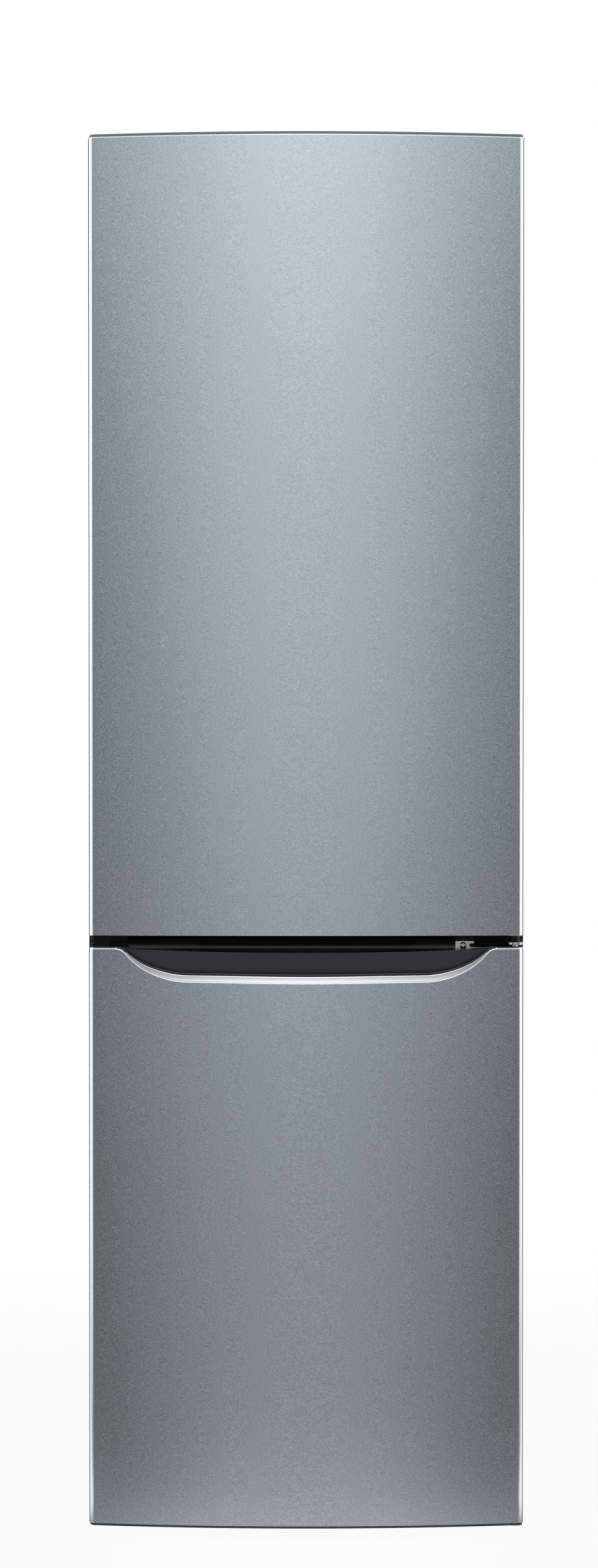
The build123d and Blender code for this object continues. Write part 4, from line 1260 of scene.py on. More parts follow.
@dataclass
class PocketCap(DoorCap):
    """Top cap of the freezer door, with the hand pocket and a lowered deck behind it."""

    opening_before: float = 0.02
    lip_rise: float = 0.0034
    lip_far: float = 0.009
    pocket_far: float = 0.036
    pocket_drop: float = 0.022
    pocket_degrees: float = 58.0
    band_side: float = 0.004
    band_far: float = 0.07
    band_under: float = 0.02
    band_over: float = 0.03
    deck_half: float = 0.240
    deck_low: float = 0.7896
    deck_sag: float = 0.0033
    deck_reach: float = 0.190
    deck_lap: float = 0.006
    deck_over: float = 0.01
    deck_steps: int = 24

    def shape(self, cap: Piece, bow: Bow) -> None:
        """Cut the opening over the lip, the pocket behind it and the deck.

        Args:
            cap: The cap.
            bow: Plan of the door.
        """
        wall = bow.front + self.pocket_far
        lip = replace(SCOOP_EDGE, skirt=-self.lip_rise, skirt_run=LIP_RUN)
        Bench.cut(cap, lip.slab("opening", self.high, bow.front - self.opening_before, wall))
        pocket = ScoopCurve(SCOOP_EDGE.depth + self.pocket_drop, self.pocket_degrees, sag=0.0)
        space = pocket.slab("pocket", self.high, bow.front, wall)
        half = SCOOP_EDGE.half + self.band_side
        low, high = self.low - self.band_under, self.high + self.band_over
        Bench.keep(space, bow.band("band", half, self.lip_far, self.band_far, low, high))
        Bench.cut(cap, space)
        Bench.cut(cap, self.deck(wall - self.deck_lap, bow.back + self.deck_over))

    def deck(self, near: float, far: float) -> Piece:
        """Shape the space over the deck, which dips towards the middle.

        Args:
            near: Front end in depth.
            far: Rear end in depth.

        Returns:
            The space, to cut with.
        """
        above = self.high + self.deck_over
        start, end = (-self.deck_half, near, above), (self.deck_half, near, above)
        places = [self.deck_half * (2 * step / self.deck_steps - 1) for step in range(self.deck_steps + 1)]
        dip = [(x, near, self.deck_low + self.deck_sag * (x / self.deck_reach) ** 2) for x in places]
        return Pen("deck", start).line(*dip, end, start).slab((0.0, far - near, 0.0))


@dataclass
class PocketLip(SubAssembly):
    """Glossy rounded lip along the scoop's edge, just behind the bright trim."""

    top: float = 0.7986
    half: float = 0.286
    near: float = 0.0030
    far: float = 0.0062
    rise: float = 0.0018
    tuck: float = 0.0012
    columns: int = 240
    crown_steps: int = 8

    def build(self) -> None:
        """Bend the lip's rounded section along the edge."""
        bow = Bow.of(self.body + "_skin")
        curve = replace(SCOOP_EDGE, skirt=-self.rise, skirt_run=LIP_RUN)
        middle, reach = (self.near + self.far) / 2, (self.far - self.near) / 2
        turns = [math.pi * step / self.crown_steps for step in range(self.crown_steps + 1)]
        crown = [(middle - reach * math.cos(turn), reach * (math.sin(turn) - 1)) for turn in turns]
        foot = -self.rise - self.tuck
        section = [(self.near, foot), *crown, (self.far, foot)]

        def place(share: float, row: int) -> Triple:
            """Put a point of the section along the edge.

            Args:
                share: Share along the lip, -1 to 1.
                row: Number of the point in the section.

            Returns:
                The point.
            """
            x = self.half * share
            inward, up = section[row]
            return x, bow.depth_at(x) + inward, self.top - curve.drop_at(x) + up

        self.fit(Bench.ribbon("freezer_handle_lip", self.columns, len(section), place), LIP)


@dataclass
class DoorSeal(SubAssembly):
    """Folded magnetic seal round the back of a door."""

    node: str
    width: float = 0.020
    fold_edge: float = 0.003
    fold_depth: float = 0.0022
    round_off: float = 0.001

    def build(self) -> None:
        """Shape a ring with a fold along its inner and outer sides."""
        low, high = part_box(self.node)
        seal = Bench.block(self.node + "_ring", low, high)
        with Bench.editing(seal, Pick.FACES, lambda middle, normal: abs(normal.y) > SQUARE):
            bpy.ops.mesh.inset(thickness=self.width)
            bpy.ops.mesh.bridge_edge_loops()
        fold = (self.fold_edge, -self.fold_depth)
        Bench.press(seal, lambda middle, normal: abs(normal.y) < 1 - SQUARE, fold)
        Bench.soften(seal, self.round_off, 2)
        self.fit(seal, SEAL, self.node)


@dataclass
class DoorLiner(SubAssembly):
    """Moulded inner face of a door: a sheet with a raised form on it."""

    node: str
    sheet: float = 0.002
    sheet_round: float = 0.0008
    form_half: float = 0.238
    form_low: float = 0.0
    form_high: float = 0.0
    form_lap: float = 0.0005
    rim: float = 0.021
    sink: float = 0.0608
    round_off: float = 0.005
    bins: tuple[str, ...] = ()
    boss: float = 0.006
    boss_length: float = 0.024
    boss_setback: float = 0.026
    boss_gap: float = 0.0003
    boss_round: float = 0.0014

    def build(self) -> None:
        """Shape the sheet, the raised form and the rests for the bins."""
        low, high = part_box(self.node)
        face = low.y + self.sheet
        sheet = Bench.block(self.node + "_moulding", low, (high.x, face, high.z))
        Bench.soften(sheet, self.sheet_round, 2)
        form = Bench.block(
            "form", (-self.form_half, face - self.form_lap, self.form_low),
            (self.form_half, high.y, self.form_high),
        )
        with Bench.editing(form, Pick.FACES, lambda middle, normal: normal.y > SQUARE):
            bpy.ops.mesh.inset(thickness=self.rim)
            bpy.ops.mesh.extrude_region_move(TRANSFORM_OT_translate={"value": (0.0, -self.sink, 0.0)})
        Bench.soften(form, self.round_off, 4)
        rests = [self.rest(node, side, face) for node in self.bins for side in (-1, 1)]
        self.fit(Bench.join(self.node + "_moulding", [sheet, form, *rests]), LINER, self.node)

    def rest(self, node: str, side: int, face: float) -> Piece:
        """Shape one boss that a bin stands on.

        Args:
            node: The bin.
            side: Which side of the door, -1 or 1.
            face: Depth of the liner's sheet.

        Returns:
            The boss.
        """
        wall = self.form_half - self.rim
        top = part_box(node)[0].z - self.boss_gap
        middle = side * (wall - self.boss / 2)
        half_length = self.boss_length / 2
        boss = Bench.block(
            "boss",
            (middle - self.boss / 2, face + self.boss_setback - half_length, top - self.boss),
            (middle + self.boss / 2, face + self.boss_setback + half_length, top),
        )
        Bench.soften(boss, self.boss_round, 3)
        return boss


@dataclass
class Tray(SubAssembly):
    """Open clear tray with rounded corners, a pressed front and a slot to pull it by."""

    node: str
    front: int = -1
    corner: float = 0.014
    heel: float = 0.006
    wall: float = 0.0025
    panel_edge: float = 0.012
    panel_depth: float = 0.001
    rim_round: float = 0.0006
    slot_length: float = 0.130
    slot_height: float = 0.022
    slot_drop: float = 0.030
    slot_before: float = 0.004
    slot_behind: float = 0.007
    has_slot: bool = True

    def build(self) -> None:
        """Round a block, open its top, press its front and give it a wall."""
        low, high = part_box(self.node)
        tray = Bench.block(self.node + "_tray", low, high)
        Bench.round_edges(tray, stands_upright, self.corner, 6)
        Bench.remove_faces(tray, lambda middle, normal: normal.z > SQUARE)
        Bench.round_edges(tray, lambda middle, way: middle.z < low.z + TOUCH, self.heel, 3)
        panel = (self.panel_edge, -self.panel_depth)
        Bench.press(tray, lambda middle, normal: normal.y * self.front > FLUSH, panel)
        Bench.thicken(tray, self.wall)
        if self.has_slot:
            self.cut_slot(tray, low, high)
        Bench.soften(tray, self.rim_round, 2)
        self.fit(tray, CLEAR, self.node)

    def cut_slot(self, tray: Piece, low: Vector, high: Vector) -> None:
        """Cut the round-ended slot through the front wall.

        Args:
            tray: The tray.
            low: Its lowest corner.
            high: Its highest corner.
        """
        middle = (low.x + high.x) / 2
        level = high.z - self.slot_drop
        reach, half = self.slot_length / 2, self.slot_height / 2
        cutter = Bench.block(
            "slot", (middle - reach, low.y - self.slot_before, level - half),
            (middle + reach, low.y + self.slot_behind, level + half),
        )
        Bench.round_edges(cutter, runs_through, half * FULL_ROUND, 10)
        Bench.cut(tray, cutter)


@dataclass
class Cavity(SubAssembly):
    """White moulded tub of a compartment, with ledges along its sides."""

    node: str
    wall: float = 0.002
    rear_round: float = 0.018
    side_round: float = 0.006
    ledge_width: float = 0.009
    ledge_height: float = 0.008
    ledge_round: float = 0.0018
    rests: tuple[str, ...] = ()
    rest_gap: float = 0.0

    def build(self) -> None:
        """Shape the tub, give it a wall and add its ledges."""
        low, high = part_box(self.node)
        skin = Vector((self.wall, 0.0, self.wall))
        inner_low, inner_high = low + skin, high - skin - Vector((0.0, self.wall, 0.0))
        tub = self.tub(inner_low, inner_high)
        Bench.remove_faces(tub, lambda middle, normal: middle.y < low.y + TOUCH)
        self.round_corners(tub, inner_high)
        Bench.thicken(tub, self.wall, offset=1.0)
        Bench.smooth(tub)
        ledges = [self.ledge(node, side, inner_high.x) for node in self.rests for side in (-1, 1)]
        self.fit(Bench.join(self.node + "_tub", [tub, *ledges]), LINER, self.node)

    def tub(self, low: Vector, high: Vector) -> Piece:
        """Return the plain volume inside the tub."""
        return Bench.block(self.node + "_tub", low, high)

    def round_corners(self, tub: Piece, high: Vector) -> None:
        """Round the rear edges and the corners that run front to back.

        Args:
            tub: The tub.
            high: Its highest inner corner.
        """
        Bench.round_edges(tub, lambda middle, way: middle.y > high.y - TOUCH, self.rear_round, 6)
        edge = high.x - NEARBY
        Bench.round_edges(
            tub, lambda middle, way: abs(way.y) > ALONG and abs(middle.x) > edge, self.side_round, 3
        )

    def ledge(self, node: str, side: int, wall: float) -> Piece:
        """Shape one ledge under a shelf or drawer.

        Args:
            node: What stands on the ledge.
            side: Which side of the tub, -1 or 1.
            wall: Place of the side wall.

        Returns:
            The ledge.
        """
        low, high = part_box(node)
        top = low.z - self.rest_gap
        ends = sorted((side * (wall - self.ledge_width), side * (wall + self.wall / 2)))
        ledge = Bench.block("ledge", (ends[0], low.y, top - self.ledge_height), (ends[1], high.y, top))
        Bench.soften(ledge, self.ledge_round, 3)
        return ledge


@dataclass
class SteppedCavity(Cavity):
    """Freezer tub, stepped up at the rear over the machine room."""

    step_y: float = 0.045
    step_z: float = 0.2965

    def tub(self, low: Vector, high: Vector) -> Piece:
        """Pull the front of the floor down from the upper volume.

        Args:
            low: Lowest inner corner.
            high: Highest inner corner.

        Returns:
            The stepped volume.
        """
        tub = Bench.block(self.node + "_tub", (low.x, low.y, self.step_z), high)
        with Bench.whole(tub):
            bpy.ops.mesh.bisect(plane_co=(0.0, self.step_y, 0.0), plane_no=BACK)
        drop = (0.0, 0.0, low.z - self.step_z)
        with Bench.editing(
            tub, Pick.FACES, lambda middle, normal: normal.z < -SQUARE and middle.y < self.step_y
        ):
            bpy.ops.mesh.extrude_region_move(TRANSFORM_OT_translate={"value": drop})
        return tub

    def round_corners(self, tub: Piece, high: Vector) -> None:
        """Round every inner edge a little."""
        Bench.modify(tub, "BEVEL", width=self.side_round, segments=3, limit_method="ANGLE")


@dataclass
class CabinetWrap(SubAssembly):
    """Painted shell of the cabinet with rolled front edges."""

    node: str = "cabinet_shell"
    sheet: float = 0.001
    roll: float = 0.003
    opening_half: float = 0.2475
    opening_top: float = 1.8415
    window_reach: float = 0.1

    def build(self) -> None:
        """Roll the edges of a block, open its front, back and bottom, and give it a wall."""
        low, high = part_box(self.node)
        shell = Bench.block(self.node + "_wrap", low, high)

        def rolled(middle: Vector, way: Vector) -> bool:
            """Tell the front edges and the upper side edges.

            Args:
                middle: Middle of the edge.
                way: Its direction.

            Returns:
                Whether the edge is rolled.
            """
            at_front = middle.y < low.y + TOUCH and middle.z > low.z + TOUCH
            at_top = middle.z > high.z - TOUCH and abs(middle.x) > high.x - TOUCH
            return at_front or at_top

        def opened(middle: Vector, normal: Vector) -> bool:
            """Tell the faces that the shell does not have."""
            window = abs(middle.x) < self.window_reach and middle.z < self.opening_top
            return normal.y > FLUSH or normal.z < -FLUSH or (normal.y < -FLUSH and window)

        Bench.round_edges(shell, rolled, self.roll, 4)
        flange = high.x - self.roll - self.opening_half
        Bench.press(shell, lambda middle, normal: normal.y < -FLUSH, (flange, 0.0))
        self.drop_edge(shell, low.y, high.z - self.roll - flange, self.opening_top)
        self.drop_edge(shell, low.y, low.z + flange, low.z + TOUCH)
        Bench.remove_faces(shell, opened)
        Bench.thicken(shell, self.sheet)
        Bench.smooth(shell)
        self.fit(shell, PAINT, self.node)

    @staticmethod
    def drop_edge(shell: Piece, front: float, level: float, target: float) -> None:
        """Move the level edge of the front opening to another height.

        Args:
            shell: The shell.
            front: Depth of the front face.
            level: Height the edge is at.
            target: Height it moves to.
        """

        def chosen(middle: Vector, way: Vector) -> bool:
            """Tell the edge that moves."""
            at_front = abs(middle.z - level) < NEARBY and middle.y < front + NEARBY
            return abs(way.x) > SQUARE and at_front

        with Bench.editing(shell, Pick.EDGES, chosen):
            bpy.ops.transform.translate(value=(0.0, 0.0, target - level))


@dataclass
class BackSheet(SubAssembly):
    """Galvanised back panel with two pressed fields."""

    node: str = "back_panel"
    split: float = 0.45
    border: float = 0.062
    press: float = 0.004
    round_off: float = 0.0012

    def build(self) -> None:
        """Split the sheet in two and press a field out of each half."""
        low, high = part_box(self.node)
        sheet = Bench.block(self.node + "_sheet", low, high)
        level = low.z + (high.z - low.z) * self.split
        with Bench.whole(sheet):
            bpy.ops.mesh.bisect(plane_co=(0.0, 0.0, level), plane_no=UP)
        margin = (self.border, 0.0)
        Bench.press(
            sheet, lambda middle, normal: normal.y > FLUSH, margin, (self.press, self.press), margin,
            (self.press, -self.press), single=True,
        )
        Bench.soften(sheet, self.round_off, 3, clamp=False)
        self.fit(sheet, ZINC, self.node)


@dataclass
class GlassShelf(SubAssembly):
    """Toughened glass plate with ground edges."""

    node: str
    corner: float = 0.006
    ground: float = 0.0009

    def build(self) -> None:
        """Round the upright corners and grind the edges."""
        low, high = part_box(self.node)
        plate = Bench.block(self.node + "_plate", low, high)
        Bench.round_edges(plate, stands_upright, self.corner, 5)
        Bench.soften(plate, self.ground, 2)
        self.fit(plate, GLASS, self.node)


@dataclass
class LevellingFoot(SubAssembly):
    """Turned foot with a nut and a stem."""

    node: str
    pad: tuple[tuple[float, float], ...] = (
        (0.003, 0.0), (0.0006, 0.0009), (0.0, 0.0028), (0.0, 0.0060), (0.0008, 0.0078), (0.003, 0.009),
    )
    neck: float = 0.0095
    neck_rise: float = 0.0045
    stem: float = 0.005

    def build(self) -> None:
        """Draw half the outline and turn it."""
        low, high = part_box(self.node)
        x, y = (low.x + high.x) / 2, (low.y + high.y) / 2
        rim = (high.x - low.x) / 2
        level = self.pad[-1][1]
        shoulder = level + self.neck_rise
        outline = [(rim - inward, up) for inward, up in self.pad]
        outline += [(self.neck, level), (self.neck, shoulder), (self.stem, shoulder), (self.stem, high.z)]
        foot = Pen.turned(self.node + "_turned", (x, y, 0.0), [*outline, (0.0, high.z)], 40)
        self.fit(foot, BLACK, self.node)


@dataclass
class RearRoller(SubAssembly):
    """Nylon wheel with a rounded tread and a dished hub."""

    node: str
    bore: float = 0.00306
    dish: float = 0.0022
    dish_from: tuple[float, float] = (0.0068, 0.0078)
    dish_to: tuple[float, float] = (0.0112, 0.0122)
    shoulder: tuple[tuple[float, float], ...] = ((0.0002, 0.0136), (0.0011, 0.0146))
    tread: float = 0.0024

    def build(self) -> None:
        """Draw the wheel's section and turn it round its axle."""
        low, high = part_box(self.node)
        y, z = (low.y + high.y) / 2, (low.z + high.z) / 2
        rim = (high.z - low.z) / 2
        half = (
            (0.0, self.bore), (0.0, self.dish_from[0]), (self.dish, self.dish_from[1]),
            (self.dish, self.dish_to[0]), (0.0, self.dish_to[1]), *self.shoulder, (self.tread, rim),
        )
        ends = [(low.x + a, r) for a, r in half] + [(high.x - a, r) for a, r in reversed(half)]
        points = [(x, y, z + out) for x, out in ends]
        pen = Pen(self.node + "_wheel", points[0]).line(*points[1:], points[0])
        wheel = pen.turn((0.0, y, z), RIGHT, 40)
        Bench.smooth(wheel)
        self.fit(wheel, NYLON, self.node)


@dataclass
class MullionBead(SubAssembly):
    """Rounded dark moulding along the strip between the compartments."""

    node: str = "mullion_strip"
    left: float = -0.2435
    right: float = 0.2045
    low: float = 0.7930
    high: float = 0.8150
    lap: float = 0.0003
    heel: float = 0.0007
    radius: float = 0.0598
    foot_degrees: float = 5.0

    def build(self) -> None:
        """Draw the moulding's section and pull it across the gap."""
        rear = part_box(self.node)[0].y + self.lap
        foot = math.radians(self.foot_degrees)
        middle_z = self.low + self.heel - self.radius * math.sin(foot)
        head = math.asin((self.high - middle_z) / self.radius)
        middle_y = rear + self.radius * math.cos(head)
        face = middle_y - self.radius * math.cos(foot)
        start = (self.left, rear, self.low)
        pen = Pen("mullion_bead", start)
        pen.line((self.left, face + self.heel, self.low), (self.left, face, self.low + self.heel))
        pen.arc((self.left, middle_y, middle_z), -math.degrees(head - foot), RIGHT, 12)
        bead = pen.line(start).slab((self.right - self.left, 0.0, 0.0))
        Bench.smooth(bead)
        self.fit(bead, STRIP)


@dataclass
class MiddleHinge(SubAssembly):
    """Bracket between the doors: a slotted leaf, an arm, a pin with a collar, and a dark cover."""

    node: str = "middle_hinge"
    leaf_left: float = 0.2040
    leaf_right: float = 0.262
    leaf_top: float = 0.8036
    leaf_corner: float = 0.0018
    leaf_round: float = 0.0004
    plate: float = 0.003
    arm_left: float = 0.274
    arm_right: float = 0.2954
    arm_low: float = 0.8000
    arm_high: float = 0.8036
    arm_corner: float = 0.0088
    arm_round: float = 0.0005
    pin: float = 0.004
    collar: float = 0.006
    collar_top: float = 0.8120
    rim: float = 0.0006
    slot_left: float = 0.2235
    slot_half: float = 0.0026
    slot_level: float = 0.798
    slot_reach: float = 0.01
    cover_left: float = 0.2300
    cover_right: float = 0.2973
    cover_low: float = 0.7962
    cover_proud: float = 0.0066
    cover_lap: float = 0.0002
    cover_lean: float = 0.0042
    cover_panel: tuple[float, float] = (0.003, -0.0010)
    cover_round: float = 0.0007

    def build(self) -> None:
        """Shape the bracket, its collar and the cover over its hinge side."""
        low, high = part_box(self.node)
        leaf_low, leaf_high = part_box("hinge_blank_plugs")
        leaf = self.leaf(leaf_low, leaf_high)
        arm = Bench.block(
            "arm", (self.arm_left, low.y, self.arm_low), (self.arm_right, high.y, self.arm_high)
        )
        front = low.y + TOUCH
        Bench.round_edges(
            arm, lambda middle, way: stands_upright(middle, way) and middle.y < front, self.arm_corner, 8
        )
        Bench.soften(arm, self.arm_round, 2)
        reach = (high.x - self.arm_left) / 2
        axis = ((self.arm_left + high.x) / 2, low.y + reach, 0.0)
        pin = Pen.turned("pin", axis, self.rod(self.pin, low.z, high.z), 28)
        self.fit(Bench.join(self.node + "_bracket", [leaf, arm, pin]), HINGE, self.node)
        ring = self.rod(self.collar, self.arm_high, self.collar_top)
        self.fit(Pen.turned("middle_hinge_collar", axis, ring, 28), BLACK)
        self.cover(leaf_high)

    def rod(self, radius: float, low: float, high: float) -> Outline:
        """Draw half the outline of a rod with broken edges.

        Args:
            radius: Radius of the rod.
            low: Its lower end.
            high: Its upper end.

        Returns:
            Distances from the axis and heights, from the bottom up.
        """
        inner = radius - self.rim
        foot, head = low + self.rim, high - self.rim
        return (inner, low), (radius, foot), (radius, head), (inner, high), (0.0, high)

    def leaf(self, leaf_low: Vector, leaf_high: Vector) -> Piece:
        """Shape the leaf with its open slot.

        Args:
            leaf_low: Lowest corner of the leaf's height and depth.
            leaf_high: Highest corner of the leaf's height and depth.

        Returns:
            The leaf.
        """
        leaf = Bench.block(
            "leaf", (self.leaf_left, leaf_high.y - self.plate, leaf_low.z),
            (self.leaf_right, leaf_high.y, self.leaf_top),
        )
        left, right, reach = self.leaf_left + TOUCH, self.leaf_right, self.slot_reach
        Bench.round_edges(
            leaf, lambda middle, way: runs_through(middle, way) and middle.x < left, self.leaf_corner, 4
        )
        slot = Bench.block(
            "slot", (self.slot_left, leaf_high.y - reach, self.slot_level - self.slot_half),
            (right + reach, leaf_high.y + reach, self.slot_level + self.slot_half),
        )
        end_round = self.slot_half * FULL_ROUND
        Bench.round_edges(
            slot, lambda middle, way: runs_through(middle, way) and middle.x < right, end_round, 8
        )
        Bench.cut(leaf, slot)
        Bench.soften(leaf, self.leaf_round, 2)
        return leaf

    def cover(self, leaf_high: Vector) -> None:
        """Shape the dark cover that runs from the slot to the cabinet's side.

        Args:
            leaf_high: Highest corner of the leaf's height and depth.
        """
        cover = Bench.block(
            "middle_hinge_cover", (self.cover_left, leaf_high.y - self.cover_proud, self.cover_low),
            (self.cover_right, leaf_high.y + self.cover_lap, leaf_high.z),
        )
        Bench.lean(cover, self.cover_lean)
        Bench.press(cover, faces_front, self.cover_panel)
        Bench.soften(cover, self.cover_round, 3)
        self.fit(cover, BLACK)


@dataclass
class HingeBlank(SubAssembly):
    """Moulded plug on the free side of the gap, with a dished plate on it."""

    node: str = "hinge_blank_plugs"
    left: float = -0.2973
    lean: float = 0.0022
    panel: tuple[float, float] = (0.0025, -0.0006)
    body_round: float = 0.0004
    plate: tuple[float, float, float, float] = (-0.2695, -0.2520, 0.7960, 0.8025)
    plate_proud: float = 0.0022
    plate_rim: tuple[float, float] = (0.0008, 0.0)
    plate_dish: tuple[float, float] = (0.0006, -0.0012)
    plate_round: float = 0.0003

    def build(self) -> None:
        """Shape the plug's body and the plate on its face."""
        low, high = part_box(self.node)
        body = Bench.block(self.node + "_body", (self.left, low.y, low.z), high)
        Bench.lean(body, self.lean)
        Bench.press(body, faces_front, self.panel)
        Bench.soften(body, self.body_round, 3)
        left, right, bottom, top = self.plate
        plate = Bench.block("plate", (left, low.y - self.plate_proud, bottom), (right, high.y, top))
        Bench.press(plate, faces_front, self.plate_rim, self.plate_dish)
        Bench.soften(plate, self.plate_round, 2)
        self.fit(Bench.join(self.node + "_body", [body, plate]), BLACK, self.node)


@dataclass
class BushBlank(SubAssembly):
    """Turned blank in the free corner of a door's end, where a bush would sit for a left-hand door."""

    name: str
    foot: float
    tip: float
    x: float = -0.2887
    y: float = -0.2915
    rim: float = 0.0036
    parts: int = 6
    groove: tuple[tuple[float, float], ...] = (
        (0.0, 0.0), (0.0, 2.4), (0.0012, 2.8), (0.0012, 3.2), (0.0, 3.6), (0.0, 5.4), (0.0006, 6),
    )

    def build(self) -> None:
        """Draw half the outline and turn it."""
        step = (self.tip - self.foot) / self.parts
        outline = [(self.rim - inward, share * step) for inward, share in self.groove]
        outline.append((0.0, self.parts * step))
        self.fit(Pen.turned(self.name, (self.x, self.y, self.foot), outline, 24), BLACK)


@dataclass
class HingeScrews(SubAssembly):
    """Pan-headed screws of the hinges, with a washer face and a cross recess."""

    node: str = "hinge_screws"
    head: float = 0.0045
    height: float = 0.0015
    crown: float = 0.0013
    dome: tuple[tuple[float, float], ...] = ((0.0012, 0.0002), (0.0003, 0.0007))
    head_foot: float = 0.0005
    washer: float = 0.0057
    washer_rise: float = 0.0004
    recess: tuple[float, float] = (0.0022, 0.0005)
    recess_before: float = 0.003
    recess_depth: float = 0.0008
    level: float = 0.798
    top_setback: float = 0.030
    crease_degrees: float = 30.0

    def build(self) -> None:
        """Turn and cut one screw, and copy it to its places."""
        screw = self.screw()
        low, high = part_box(self.node)
        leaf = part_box("middle_hinge")
        across = (low.x + self.head, high.x - self.head)
        levels = (low.z + self.head, self.level)
        copies = [Bench.copy(screw, "screw", (x, low.y + self.height, z)) for x in across for z in levels]
        tops = [Bench.copy(screw, "screw", (0.0, 0.0, 0.0)) for _ in across]
        for x, top in zip(across, tops):
            top.rotation_euler = (-math.pi / 2, 0.0, 0.0)
            top.location = (x, leaf[1].y + self.top_setback, high.z - self.height)
            Bench.focus(top)
            bpy.ops.object.transform_apply(location=True, rotation=True, scale=True)
        bpy.data.objects.remove(screw)
        self.fit(Bench.join(self.node + "_heads", copies + tops), HINGE, self.node)

    def screw(self) -> Piece:
        """Turn one screw and cut its recess.

        Returns:
            The screw at the origin, its head towards the front.
        """
        dome = [(self.head - inward, -self.height + deep) for inward, deep in self.dome]
        outline = [
            (0.0, -self.height), (self.crown, -self.height), *dome, (self.head, -self.head_foot),
            (self.washer, -self.washer_rise), (self.washer, 0.0), (0.0, 0.0),
        ]
        points = [(out, deep, 0.0) for out, deep in outline]
        screw = Pen("screw", points[0]).line(*points[1:]).turn((0.0, 0.0, 0.0), BACK, 28)
        bottom = -self.height + self.recess_depth
        for x, z in (self.recess, self.recess[::-1]):
            Bench.cut(screw, Bench.block("recess", (-x, -self.recess_before, -z), (x, bottom, z)))
        Bench.smooth(screw, self.crease_degrees)
        return screw


